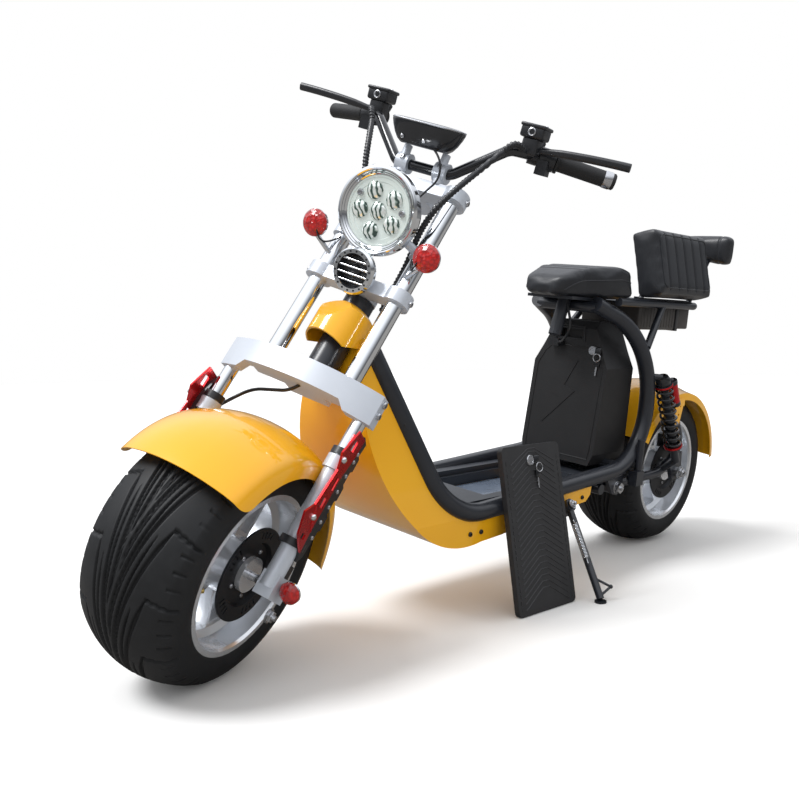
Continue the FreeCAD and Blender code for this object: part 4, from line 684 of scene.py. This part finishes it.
def swept(points, radius, sides=10, closed=False):
    """A tube along points; its radius may depend on the distance run and on the turn round it."""
    line = [Vector(p) for p in points]
    count = len(line)
    corners = []
    side = None
    run = 0.0
    for n, at in enumerate(line):
        after = line[(n + 1) % count] if closed or n < count - 1 else at
        before = line[n - 1] if closed or n else at
        way = (after - before).normalized()
        side = side or way.orthogonal().normalized()
        side = (side - way * side.dot(way)).normalized()
        other = way.cross(side)
        run += (at - line[n - 1]).length if n else 0
        for m in range(sides):
            a = 2 * math.pi * m / sides
            r = radius(run, a) if callable(radius) else radius
            corners.append(at + (side * math.cos(a) + other * math.sin(a)) * r)
    faces = net(count, sides, closed, True)
    if not closed:
        faces += [tuple(range(sides)), tuple(range((count - 1) * sides, count * sides))]
    return Form(corners, faces)


def route(points, fine=24):
    """Points along the smooth curve that a cable follows."""
    curve = bpy.data.curves.new("route", "CURVE")
    curve.dimensions = "3D"
    curve.resolution_u = fine
    spline = curve.splines.new("NURBS")
    spline.points.add(len(points) - 1)
    for point, at in zip(spline.points, points):
        point.co = (*at, 1)
    spline.order_u = 3
    spline.use_endpoint_u = True
    holder = bpy.data.objects.new("route", curve)
    line = [corner.co.copy() for corner in bpy.data.meshes.new_from_object(holder).vertices]
    bpy.data.objects.remove(holder)
    return line


def block(low, high, radius, segments=3):
    """A box in millimetres with rounded edges."""
    work = bmesh.new()
    bmesh.ops.create_cube(work, size=1)
    size = (Vector(high) - Vector(low)) / 1000
    middle = (Vector(high) + Vector(low)) / 2000
    for corner in work.verts:
        corner.co = middle + Vector(corner.co[n] * size[n] for n in range(3))
    bmesh.ops.bevel(work, geom=list(work.edges), offset=radius / 1000, segments=segments, profile=0.5,
                    affect="EDGES")
    work.verts.index_update()
    form = Form([corner.co.copy() for corner in work.verts],
                [tuple(corner.index for corner in face.verts) for face in work.faces])
    work.free()
    return form


# Each cable: its places (x, f, s) on the fork, its radius and how high its ribs stand.
CABLES = [([(158, 88, 1222), (128, 98, 1140), (101, 101, 1066), (86, 86, 1032), (66, 50, 1004),
            (60, 18, 962), (54, 4, 905), (53, -2, 848)], 0.0062, 0.0010),
          ([(-150, 88, 1222), (-128, 84, 1160), (-112, 74, 1112), (-88, 52, 1062), (-64, 22, 1026),
            (-34, 12, 1004), (-14, 38, 994)], 0.0062, 0.0010),
          ([(0, 40, 629), (-16, 34, 612), (-62, 18, 604), (-112, -2, 596), (-148, -12, 566),
            (-156, 20, 518)], 0.0036, 0.0),
          ([(182, 62, 1262), (176, 84, 1256), (164, 92, 1236), (158, 88, 1222)], 0.0062, 0.0010),
          ([(-182, 62, 1262), (-174, 80, 1256), (-160, 92, 1238), (-150, 88, 1222)], 0.0062, 0.0010),
          ([(10, 100, 1186), (34, 112, 1172), (58, 104, 1150), (62, 84, 1122), (40, 70, 1096),
            (22, 62, 1060)], 0.0022, 0.0),
          ([(118, 96, 930), (112, 86, 916), (98, 66, 920), (84, 56, 950)], 0.0018, 0.0),
          ([(-118, 96, 930), (-112, 86, 916), (-98, 66, 920), (-84, 56, 950)], 0.0018, 0.0)]
RIB_TURN = 2 * math.pi / 0.0078
cables = Form()
for places, radius, rib in CABLES:
    line = route([fork(*at) for at in places])
    cables += swept(line, lambda run, turn: radius + rib * math.sin(run * RIB_TURN + turn), 12)
cables = cables.piece("ribbed_cables", black_satin, "fork", "frame_black", 60.0)
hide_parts("control_cables")
BAR_TIP = Vector((0.345, 0.046, 1.318))
grip_run = (Vector((0.196, -0.012, 1.290)) - BAR_TIP).normalized()


def by_grip(back, f=0, s=0):
    """A place in millimetres back along the grip from the bar's tip, ahead of it and above it."""
    return BAR_TIP + grip_run * back / 1000 + Vector((0, -f, s)) / 1000


def blade_radius(run, turn):
    """How thick a brake lever is: it broadens and flattens from its knuckle on."""
    return 0.0055 + 0.0025 * min(run / 0.05, 1) * abs(math.sin(turn)) + 0.001 * min(run / 0.2, 1)


controls = Form()
glass_rings = Form()
for side in (1, -1):
    handed = on_steering @ Matrix.Diagonal((side, 1, 1, 1))
    tank = handed @ Matrix.Translation(by_grip(174, 28, 16)) @ unraked
    controls += block((-18, -20, -34), (18, 12, 2), 5).placed(tank)
    controls += block((-26, -25, 0), (26, 23, 24), 5).placed(tank)
    controls += block((-28, -27, 21), (28, 25, 28.5), 3).placed(tank)
    knuckle, elbow, tip = by_grip(158, 24, -5), by_grip(60, 74, -20), by_grip(-56, 111, -36)
    controls += swept(route([knuckle, elbow, tip], 20), blade_radius, 14).placed(handed)
    controls += swept([by_grip(167, 0, -6), knuckle + Vector((0, -0.004, 0))], 0.011, 16).placed(handed)
    controls += swept([by_grip(160), by_grip(162), by_grip(178), by_grip(180)], 0.020, 24).placed(handed)
    glass_rings += lathe([(-0.001, 0.0085), (0.0015, 0.0085), (0.0022, 0.0072), (0.0012, 0.0058),
                          (-0.0002, 0.0050)], 28).placed(tank @ looking((0, -0.0252, 0.012), (0, -1, 0)))
    for x in (-20, 20):
        glass_rings += socket_screw(0.0028).placed(tank @ looking((x / 1000, 0, 0.0284), (0, 0, 1)))
# The left grip alone ends in a bright cap.
caps = lathe([(-0.001, 0.0174), (0.002, 0.0182), (0.014, 0.0182), (0.0185, 0.0160), (0.022, 0.0125),
              (0.0235, 0.0)], 28).placed(on_steering @ looking(BAR_TIP + grip_run * 0.016, -grip_run))
controls = controls.piece("brake_levers", black_satin, "fork", "frame_black")
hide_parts("brake_controls")
glass_rings.piece("reservoir_glasses", bolt_steel, "fork", "disc_steel")
caps.piece("grip_caps", bolt_steel, "fork", "disc_steel")
meter_place = on_steering @ Matrix.Translation((0, -0.092, 1.182)) @ unraked
# The meter's rim starts with eight corners, and each of three rounds cuts every corner off.
rim = [(-80, -20), (-56, -44), (56, -44), (80, -20), (80, 16), (44, 46), (-44, 46), (-80, 16)]
for n in range(3):
    rim = [(ax * (1 - share) + bx * share, ay * (1 - share) + by * share)
           for (ax, ay), (bx, by) in zip(rim, rim[1:] + rim[:1]) for share in (0.2, 0.8)]
# The meter's layers from its floor up: height in millimetres and scale of the rim.
METER_LAYERS = [(0, 0.60), (0, 0.64), (1.5, 0.68), (7, 0.77), (18, 0.87), (32, 0.955), (41, 0.995),
                (44, 1.0), (46, 0.985), (46.5, 0.95), (48.5, 0.93), (49.5, 0.88), (50, 0.70)]


def on_rim(scale, height):
    """The meter's rim at a scale and a height."""
    return [(x * scale / 1000, y * scale / 1000, height / 1000) for x, y in rim]


count = len(rim)
shell = Form([corner for height, scale in METER_LAYERS for corner in on_rim(scale, height)],
             net(len(METER_LAYERS), count, False, True))
shell.faces.append(tuple(reversed(range(count))))
shell.faces.append(tuple(range(len(shell.corners) - count, len(shell.corners))))
shell = shell.placed(meter_place).piece("meter_shell", gloss_black, "fork", "black_plastic", 50.0)
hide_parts("meter")
swept([meter_place @ Vector(at) for at in on_rim(0.982, 46.2)], 0.0021, 8, True).piece(
    "meter_rim", bolt_steel, "fork", "disc_steel")
seats = [meter_place @ looking((x, -0.0352, 0.012), (0, -0.92, -0.39)) for x in (-0.038, 0.012)]
screws = copies(socket_screw(0.0042), seats)
screws.piece("meter_screws", bolt_steel, "fork", "disc_steel")

# Seats
# Foam pads covered in black leatherette with a pebbled grain, glued and stapled over hard pans.
# The saddle is fluted across its top, and the rear pad is sewn into channels; both are piped.
hide, place, shader = finish("black_leatherette", (0.013, 0.014, 0.017), 0.40, coat=0.1, coat_rough=0.3)
grain = place.node("TexVoronoi", {"feature": "DISTANCE_TO_EDGE"}, {"Vector": place, "Scale": 480.0})
roughened(shader, noise(place, 34.0, 4.0), 0.33, 0.48)
tinted(shader, noise(place, 9.0), (0.010, 0.011, 0.014), (0.019, 0.021, 0.026))
bumped(place, shader, grain, 0.0005, 0.35)
PAD_CELL = 0.0045
CLOTH_FRAMES = 20
CLOTH_PRESSURE = 4
CLOTH_QUALITY = 5
CREASE_ROUNDS = 5


def baked(pad):
    """Gives a pad the mesh that its modifiers make."""
    mesh = bpy.data.meshes.new_from_object(pad.evaluated_get(bpy.context.evaluated_depsgraph_get()))
    pad.modifiers.clear()
    pad.data = mesh
    return mesh


def smoothed(mesh, rounds, fit=None):
    """Moves the corners of a mesh by fit and then relaxes them."""
    work = bmesh.new()
    work.from_mesh(mesh)
    if fit:
        for corner in work.verts:
            corner.co = fit(corner.co)
    for n in range(rounds):
        bmesh.ops.smooth_vert(work, verts=work.verts, factor=0.5, use_axis_x=True, use_axis_y=True,
                              use_axis_z=True)
    work.to_mesh(mesh)
    work.free()


def listed(mesh, key):
    """The places or the normals of a mesh's corners, one a row."""
    rows = np.empty(len(mesh.vertices) * 3)
    mesh.vertices.foreach_get(key, rows)
    return rows.reshape(-1, 3)


def cushion(name, body, rounds, cap, shape, fit=None):
    """Upholstery over a CAD pad: rounded off, swollen by cloth simulation, then sewn in by shape."""
    pad = bpy.data.objects.new(name + "_cover", nodes[name].data.copy())
    scene.collection.objects.link(pad)
    remesh = pad.modifiers.new("remesh", "REMESH")
    remesh.mode = "VOXEL"
    remesh.voxel_size = PAD_CELL
    mesh = baked(pad)
    smoothed(mesh, rounds, fit)
    start = listed(mesh, "co")
    cloth = pad.modifiers.new("swell", "CLOTH")
    cloth.settings.quality = CLOTH_QUALITY
    cloth.settings.use_pressure = True
    cloth.settings.uniform_pressure_force = CLOTH_PRESSURE
    cloth.settings.effector_weights.gravity = 0
    for n in range(1, CLOTH_FRAMES + 1):
        scene.frame_set(n)
    swollen = pad.evaluated_get(bpy.context.evaluated_depsgraph_get()).to_mesh()
    moved = listed(swollen, "co") - start
    far = np.linalg.norm(moved, axis=1, keepdims=True)
    start = start + moved * np.minimum(1, cap / np.maximum(far, 1e-9))
    pad.modifiers.clear()
    scene.frame_set(1)
    mesh.vertices.foreach_set("co", start.ravel())
    smoothed(mesh, CREASE_ROUNDS)
    finer = pad.modifiers.new("finer", "SUBSURF")
    finer.levels = 1
    mesh = baked(pad)
    co, way = listed(mesh, "co"), listed(mesh, "normal")
    co = co + way * shape(co, way)[:, None]
    mesh.vertices.foreach_set("co", co.ravel())
    mesh.materials.clear()
    mesh.materials.append(hide)
    mesh.shade_smooth()
    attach(pad, body)
    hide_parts(name)
    return pad


def local(co, way, place):
    """Points and normals of a piece in the upright frame of one of its parts."""
    back = np.array(place.inverted())
    return co @ back[:3, :3].T + back[:3, 3], way @ back[:3, :3].T


def soft_step(value, low, high):
    """Rises smoothly from 0 at the low value to 1 at the high one."""
    share = np.clip((value - low) / (high - low), 0, 1)
    return share * share * (3 - 2 * share)


FLUTE_PITCH = 0.023
FLUTE_WIDTH = 0.0030
FLUTE_DEPTH = 0.0030
NOSE_START = -0.50
NOSE_FLOOR = 0.752
NOSE_SHARE = 0.80


def sew_saddle(co, way):
    """Presses cross flutes into the top of the saddle."""
    at, out = local(co, way, on_stand)
    top = soft_step(out[:, 2], 0.55, 0.9) * soft_step(0.078 - np.abs(at[:, 0]), 0, 0.012)
    top = top * soft_step(at[:, 1], -0.545, -0.525) * soft_step(-0.372 - at[:, 1], 0, 0.012)
    off = (at[:, 1] / FLUTE_PITCH) % 1.0
    near = np.minimum(off, 1 - off) * FLUTE_PITCH
    return -FLUTE_DEPTH * top * np.exp(-(near / FLUTE_WIDTH) ** 2)


PAD_HINGE = (0.097, -0.288, 0.7493)
PAD_OPENED = math.radians(-14)
CHANNEL_PITCH = 0.050
CHANNEL_SWELL = 0.0022
SEAM_WIDTH = 0.0032
SEAM_DEPTH = 0.0058
ROLL_SEAM_AT = 0.116
ROLL_SEAM_WIDTH = 0.0028
ROLL_SEAM_DEPTH = 0.0025
pad_place = on_stand @ Matrix.Translation(PAD_HINGE) @ Matrix.Rotation(PAD_OPENED, 4, "Y")


def sew_pad(co, way):
    """Swells the channels of the rear pad and draws the seams between them in."""
    at, out = local(co, way, pad_place)
    face = soft_step(out[:, 0], 0.5, 0.9) * soft_step(at[:, 0], 0.045, 0.060)
    inner = soft_step(at[:, 2], 0.010, 0.024) * soft_step(0.176 - at[:, 2], 0, 0.014)
    off = (at[:, 1] / CHANNEL_PITCH) % 1.0
    near = np.minimum(off, 1 - off) * CHANNEL_PITCH
    ends = soft_step(at[:, 1], 0.02, 0.04) * soft_step(0.285 - at[:, 1], 0, 0.02)
    seam = np.exp(-(near / SEAM_WIDTH) ** 2) * ends
    return face * inner * (CHANNEL_SWELL * np.sin(off * math.pi) ** 0.7 - SEAM_DEPTH * seam)


def sew_roll(co, way):
    """Draws a seam in near each end of the backrest."""
    at = local(co, way, on_stand)[0]
    return -ROLL_SEAM_DEPTH * np.exp(-((np.abs(at[:, 0]) - ROLL_SEAM_AT) / ROLL_SEAM_WIDTH) ** 2)


def short_nose(at):
    """Draws the saddle's nose in and down a little, as its foam does."""
    spot = on_stand.inverted() @ at
    if spot.y < NOSE_START:
        spot.z -= 0.10 * (NOSE_START - spot.y) * max(0, (spot.z - NOSE_FLOOR) / 0.06)
        spot.y = NOSE_START - (NOSE_START - spot.y) * NOSE_SHARE
    return on_stand @ spot


saddle = cushion("saddle", "chassis", 24, 0.0028, sew_saddle, short_nose)
second = cushion("passenger_pad", "passenger_pad", 12, 0.0022, sew_pad)
cushion("backrest", "chassis", 60, 0.004, sew_roll)


def on_surface(piece, place, starts, way):
    """Where rays from places of an upright frame meet a piece."""
    tree = BVHTree.FromPolygons([corner.co for corner in piece.data.vertices],
                                [tuple(face.vertices) for face in piece.data.polygons])
    ray = (place.to_3x3() @ Vector(way)).normalized()
    hits = [tree.ray_cast(place @ Vector(at), ray)[0] for at in starts]
    return [hit for hit in hits if hit]


# The saddle's upper edge: places from nose to tail and their heights.
EDGE_Y = (-0.621, -0.540, -0.412, -0.352)
EDGE_Z = (0.792, 0.808, 0.819, 0.812)
PIPING_RAYS_FROM = 0.3
PIPING_DROP = 0.024
PIPING_START = -0.352
PIPING_LENGTH = 0.250
PIPING_STEPS = 69
BEND_START = -0.545
BEND_LENGTH = 0.060
piping = Form()
for side in (1, -1):
    starts = []
    for n in range(PIPING_STEPS + 1):
        y = PIPING_START - PIPING_LENGTH * n / PIPING_STEPS
        top = np.interp(y, EDGE_Y, EDGE_Z) - PIPING_DROP
        fall = math.sqrt(max(0, 1 - ((BEND_START - y) / BEND_LENGTH) ** 2)) if y < BEND_START else 1
        drawn_in = y if y > NOSE_START else NOSE_START + (y - NOSE_START) * NOSE_SHARE
        starts.append((side * PIPING_RAYS_FROM, drawn_in, NOSE_FLOOR + (top - NOSE_FLOOR) * fall))
    piping += swept(on_surface(saddle, on_stand, starts, (-side, 0, 0)), 0.0016, 8)
piping.piece("saddle_piping", hide, "chassis", "leather")
# The rear pad's piping runs round its face, with a rounded corner at each of four places.
BORDER_ROUND = (0.020, 0.014)
BORDER_STEP = 0.006
BORDER_CORNERS = ((0.262, 0.150, 0), (0.038, 0.150, 90), (0.038, 0.032, 180), (0.262, 0.032, 270))
border = []
for y, z, turn in BORDER_CORNERS:
    for n in range(7):
        a = math.radians(turn + 15 * n)
        border.append((PIPING_RAYS_FROM, y + BORDER_ROUND[0] * math.cos(a),
                       z + BORDER_ROUND[1] * math.sin(a)))
full = []
for n, at in enumerate(border):
    after = border[(n + 1) % len(border)]
    steps = max(1, int((Vector(after) - Vector(at)).length / BORDER_STEP))
    full += [Vector(at).lerp(Vector(after), m / steps) for m in range(steps)]
swept(on_surface(second, pad_place, full, (-1, 0, 0)), 0.0020, 8, True).piece(
    "pad_piping", hide, "passenger_pad", "leather")

# Hatch lid
# A slab of charcoal plastic, moulded with chevrons over its face and a row of dashes along each
# edge. It has been lifted out of the footboard and leans on the left rail.
lid_plastic, place, shader = finish("lid_plastic", (0.026, 0.026, 0.028), 0.5)
clouded(place, shader, 45.0, 4.0, (0.42, 0.60), (0.020, 0.020, 0.022), (0.036, 0.036, 0.038))
bumped(place, shader, noise(place, 800.0, 2.0), 0.0004, 0.35)
dressed(lid_plastic, "hatch_lid")
LID_TURN = math.radians(-4.0)
LID_LEAN = math.radians(-8.5)
LID_FACE = 0.0133
CHEVRONS = 24
CHEVRON_PITCH = 0.0142
CHEVRON_RISE = 0.040
CHEVRON_TOP = 0.372
RELIEF_RADIUS = 0.0020
turn = Matrix.Rotation(LID_TURN, 4, "Z") @ Matrix.Rotation(LID_LEAN, 4, "Y")
spots = np.array([turn.inverted() @ corner.co for corner in nodes["hatch_lid"].data.vertices])
lid_place = Matrix.Translation(turn @ Vector(spots.min(axis=0))) @ turn
relief = Form()
for n in range(CHEVRONS):
    low = 0.012 + CHEVRON_PITCH * n
    top = min(low + CHEVRON_RISE, CHEVRON_TOP)
    line = [(LID_FACE, y, z) for y, z in ((0.024, low), (0.088, top), (0.112, top), (0.176, low))]
    relief += swept(line, RELIEF_RADIUS, 6)
    for y in (0.011, 0.189):
        relief += swept([(LID_FACE + 0.0002, y, low + z) for z in (0.001, 0.010)], RELIEF_RADIUS, 6)
relief.placed(lid_place).piece("lid_relief", lid_plastic, "hatch_lid", "black_plastic", 60.0)

# Locks and keys
# A round lock on the hatch lid and one on the battery case, of zinc-plated steel, each with a key
# in it and a second key on its ring.
LOCK_RINGS = [(-0.001, 0.0125), (0.003, 0.0125), (0.0045, 0.0112), (0.0045, 0.0085), (0.003, 0.0078),
              (0.003, 0.0)]
KEY_RING_AT = Vector((0, 0.020, -0.018))
KEY_RING_RADIUS = 0.0105


def lock_and_keys(place, body, name):
    """A round lock with a key in it, a ring through the key and a second key hanging from the ring."""
    metal = lathe(LOCK_RINGS, 30)
    metal += swept([KEY_RING_AT + round_point(0.010, KEY_RING_RADIUS, a)
                    for a in np.linspace(0, 2 * math.pi, 28, endpoint=False)], 0.0011, 8, True)
    metal += block((2, 17.5, -66), (4, 21.5, -38), 0.5, 1)
    metal += block((2, 16.2, -60), (4, 18, -56), 0.4, 1) + block((2, 16.2, -52), (4, 18, -49), 0.4, 1)
    black = block((3, 9, -12), (7, 27, 10), 2.4) + block((2, 12, -42), (6, 27, -22), 2.4)
    metal.placed(place).piece(name + "_lock", bolt_steel, body, "disc_steel")
    black.placed(place).piece(name + "_key_grips", gloss_black, body, "black_plastic")


lock_and_keys(lid_place @ Matrix.Translation((0.014, 0.092, 0.345)), "hatch_lid", "lid")
lock_and_keys(on_stand @ looking((0.066, -0.4301, 0.604), (0, -0.360, 0.038)), "chassis", "case")

# Battery case
# A locking case of grained black plastic between the rails, with a carrying handle, a beaded rim
# and a raised zigzag. The lead from the saddle plugs in near its top.
grained, place, shader = finish("grained_plastic", (0.011, 0.011, 0.012), 0.46)
pebble = place.node("TexVoronoi", {}, {"Vector": place, "Scale": 420.0})
roughened(shader, noise(place, 30.0, 4.0), 0.38, 0.54)
bumped(place, shader, pebble, 0.0004, 0.3)
dressed(grained, "battery_case")
dressed(black_satin, "seat_lead")
CASE_FOOT = (-0.462, 0.300)
CASE_SLOPE = 0.1056
CASE_RIM = [(-100, 316), (100, 316), (103, 340), (103, 552), (84, 590), (62, 610), (-62, 610), (-84, 590),
            (-103, 552), (-103, 340)]
HANDLE = [(-56, 624), (-50, 664), (30, 664), (36, 624)]
HANDLE_TOP = 659


def on_case(x, z, top=math.inf):
    """A place on the sloping front of the case, which is upright above a height."""
    y = CASE_FOOT[0] + (min(z, top) / 1000 - CASE_FOOT[1]) * CASE_SLOPE
    return on_stand @ Vector((x / 1000, y, z / 1000))


swept([on_case(x, z) for x, z in CASE_RIM], 0.0016, 8, True).piece(
    "case_bead", grained, "chassis", "black_plastic")
swept([on_case(x, z, HANDLE_TOP) for x, z in HANDLE], 0.0030, 8).piece(
    "case_handle", grained, "chassis", "black_plastic")

# Stand spring
# A chromed coil spring and a link hold the stand open or folded, hooked between bracket and leg.
# The leg turns on a bolt with a zinc-plated nut.
COIL_START = 0.012
COIL_LENGTH = 0.086
COIL_TURNS = 24
COIL_RADIUS = 0.0062
leg = Vector((0.5875, -0.1564, -0.7940))
pivot = Vector((0.172, -0.633, 0.232))
pivot_axis = Vector((0.8039, 0, 0.5948))
beside = (pivot_axis * 0.55 - Vector((0, 0.83, 0))).normalized() * 0.0165
hook, catch = pivot + leg * 0.036 + beside, pivot + leg * 0.150 + beside
spring_run = catch - hook
spring_at = on_stand @ looking(hook, spring_run)


def coil(start, length, turns, radius, fine):
    """Points along a coil about X."""
    count = turns * fine
    return [round_point(start + length * n / count, radius, 2 * math.pi * n / fine)
            for n in range(count + 1)]


wire_run = [(0.0, 0.0, 0.0), (0.010, 0.0, 0.001)]
wire_run += coil(COIL_START, COIL_LENGTH, COIL_TURNS, COIL_RADIUS, 14)
wire_run += [(0.100, 0.0, 0.001), (spring_run.length, 0, 0)]
swept(wire_run, 0.0013, 7).placed(spring_at).piece("stand_spring", chrome, "side_stand", "chrome", 60.0)
link = swept([pivot + leg * 0.034, pivot + leg * 0.036 + beside * 1.1], 0.0024, 8)
link += swept([pivot + leg * 0.152, pivot + leg * 0.150 + beside * 1.1], 0.0024, 8)
link.placed(on_stand).piece("stand_link", black_satin, "side_stand", "frame_black", 60.0)
nut_at = looking(pivot + Vector((0.0105, 0, 0.0078)), pivot_axis)
hex_nut(0.009, 0.006).placed(on_stand @ nut_at).piece("stand_bolt", bolt_steel, "chassis", "disc_steel")

# Tray and pivot nuts
# A black moulded tray carries the footboard on under the battery case. The swingarm's pivot has a
# nut with its washer on either side, and so has the rear axle.
tray = block((-127, -414, 262), (127, -296, 275), 4) + block((-127, -300, 262), (127, -290, 300), 4)
for x in (-84, -42, 0, 42, 84):
    tray += block((x - 3, -408, 273), (x + 3, -306, 278), 2)
tray.placed(on_stand).piece("footboard_tray", board, "chassis", "frame_black")
# The nuts of the swingarm's pivot and of the rear axle: place on the left and size.
PIVOT_NUTS = [(0.1540, -0.377, 0.242, 0.0115), (0.1460, 0, 0.238, 0.0125)]
pivots = Form()
for side in (1, -1):
    way = Vector((side, 0, 0))
    for x, y, z, size in PIVOT_NUTS:
        at = Vector((side * x, y, z))
        washer = lathe([(-0.004, size * 1.5), (0.0, size * 1.5), (0.001, size * 1.35)], 28)
        pivots += washer.placed(looking(at, way))
        pivots += hex_nut(size, 0.010).placed(looking(at + way * 0.001, way))
pivots.placed(on_stand).piece("pivot_nuts", bolt_steel, "chassis", "disc_steel")

# Controller
# Two ribbed castings in dark grey metal hang side by side under the rack, with a black gasket
# pressed between them.
casting, place, shader = finish("controller_casting", (0.055, 0.050, 0.047), 0.42, metal=0.2)
roughened(shader, noise(place, 40.0), 0.34, 0.5)
tinted(shader, noise(place, 14.0), (0.045, 0.041, 0.039), (0.070, 0.064, 0.060))
bumped(place, shader, noise(place, 420.0, 2.0), 0.0003, 0.25)
halves = block((-93, -260, 664), (93, -50, 736), 5) + block((-93, -32, 668), (93, 34, 736), 5)
for x in (-94, 92):
    for y in range(-244, -60, 16):
        halves += block((x, y, 672), (x + 2, y + 3, 728), 0.9, 1)
halves = halves.placed(on_stand).piece("controller", casting, "chassis", "frame_black")
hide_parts("rack_box")
gasket = block((-95, -49, 662), (95, -33, 736), 2)
gasket.placed(on_stand).piece("controller_gasket", black_satin, "chassis", "black_plastic")

# Shock absorbers
# Springs of black painted steel wire sit over the dampers between red anodised rings, and a red gas
# can with black caps is fixed beside each.
STRUT_OUT = 172
STRUT_TOP = (-236, 540)
STRUT_FOOT = (-95, 290)
CAN_TOP = (-178, 530)
CAN_WAY = (0, 38, -70)
SPRING_TURNS = 9
SPRING_RADIUS = 0.0212
SPRING_WIRE = 0.0036
coils = Form()
rings = Form()
sleeves = Form()
ends = Form()
for side in (1, -1):
    high_end = Vector((side * STRUT_OUT, *STRUT_TOP)) / 1000
    low_end = Vector((side * STRUT_OUT, *STRUT_FOOT)) / 1000
    run = (low_end - high_end).normalized()
    spring_at = on_stand @ looking(high_end + run * 0.028, run)
    length = (low_end - high_end).length - 0.086
    coils += swept(coil(0, length, SPRING_TURNS, SPRING_RADIUS, 22), SPRING_WIRE, 9).placed(spring_at)
    for x in (-0.0045, length + 0.0005):
        rings += lathe([(x - 0.002, 0.0215), (x - 0.002, 0.0252), (x, 0.0262), (x + 0.003, 0.0262),
                        (x + 0.004, 0.0245), (x + 0.004, 0.021)]).placed(spring_at)
    sleeves += lathe([(-0.032, 0.010), (-0.031, 0.0165), (-0.024, 0.0200), (-0.008, 0.0215),
                      (-0.006, 0.0205), (-0.006, 0.012)]).placed(spring_at)
    sleeves += lathe([(length * 0.55, 0.0121), (length * 0.55, 0.0142), (length - 0.002, 0.0142),
                      (length - 0.002, 0.0121)]).placed(spring_at)
    can_at = on_stand @ looking(Vector((side * STRUT_OUT, *CAN_TOP)) / 1000, CAN_WAY)
    for x in (-0.001, 0.070):
        ends += lathe([(x - 0.002, 0.006), (x - 0.001, 0.0135), (x + 0.001, 0.0150), (x + 0.010, 0.0150),
                       (x + 0.012, 0.0140), (x + 0.012, 0.006)]).placed(can_at)
coils = coils.piece("coil_springs", gloss_black, "chassis", "frame_black", 60.0)
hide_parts("shock_springs")
rings.piece("spring_rings", red_metal, "chassis", "red_metal")
sleeves.piece("shock_sleeves", gloss_black, "chassis", "frame_black")
ends.piece("can_caps", gloss_black, "chassis", "frame_black")
dressed(red_metal, "shock_cans")

# Studio
# A white floor under an even white sky with one broad lamp, high on the photographer's left.
# Glossy surfaces see a darker floor and sky, so that chrome and paint keep their contrast.
white, place, shader = finish("studio_floor", (0.97, 0.97, 0.97), 0.9)
FLOOR_HALF = 14.0
SUN_FROM = Vector((-0.35, -0.95, 1.55))


def on_rays(tree, kind):
    """A value that is 1 where a ray of one kind looks and 0 elsewhere."""
    return Wire(tree).node("LightPath", {}, {}, f"Is {kind} Ray")


even = noise(place, 0.8).tint((0.96, 0.96, 0.96, 1), (0.98, 0.98, 0.98, 1))
plain = on_rays(place.tree, "Diffuse").tint(even, (0.50, 0.50, 0.50, 1))
join(on_rays(place.tree, "Glossy").tint(plain, (0.22, 0.21, 0.20, 1)), shader.inputs["Base Color"])
floor_mesh = bpy.data.meshes.new("floor")
floor_mesh.from_pydata([(-FLOOR_HALF, -FLOOR_HALF, 0), (FLOOR_HALF, -FLOOR_HALF, 0),
                        (FLOOR_HALF, FLOOR_HALF, 0), (-FLOOR_HALF, FLOOR_HALF, 0)], [], [(0, 1, 2, 3)])
floor_mesh.materials.append(white)
floor = bpy.data.objects.new("floor", floor_mesh)
scene.collection.objects.link(floor)
world = bpy.data.worlds.new("sky")
scene.world = world
world.use_nodes = True
tree = world.node_tree
sky = Wire(tree).node("TexCoord", {}, {}, "Generated")
# What glossy surfaces mirror: grey by the horizon, dark just above it and white overhead.
SKY_STOPS = [(0.0, (0.20, 0.20, 0.20, 1)), (0.08, (0.10, 0.10, 0.11, 1)), (0.30, (0.45, 0.47, 0.50, 1)),
             (0.62, (1.15, 1.18, 1.25, 1))]
height = sky.node("SeparateXYZ", {}, {0: sky}, 2)
dome = sky.node("ValToRGB", {"stops": SKY_STOPS}, {0: height})
seen = sky.math("MAXIMUM", on_rays(tree, "Camera"), on_rays(tree, "Transmission"))
light = on_rays(tree, "Glossy").tint((0.80, 0.80, 0.80, 1), dome)
join(seen.tint(light, (1, 1, 1, 1)), tree.nodes["Background"].inputs["Color"])
lamp = bpy.data.lights.new("key", "SUN")
lamp.energy = 2.3
lamp.angle = math.radians(22)
key = bpy.data.objects.new("key", lamp)
scene.collection.objects.link(key)
key.rotation_euler = SUN_FROM.to_track_quat("Z", "Y").to_euler()
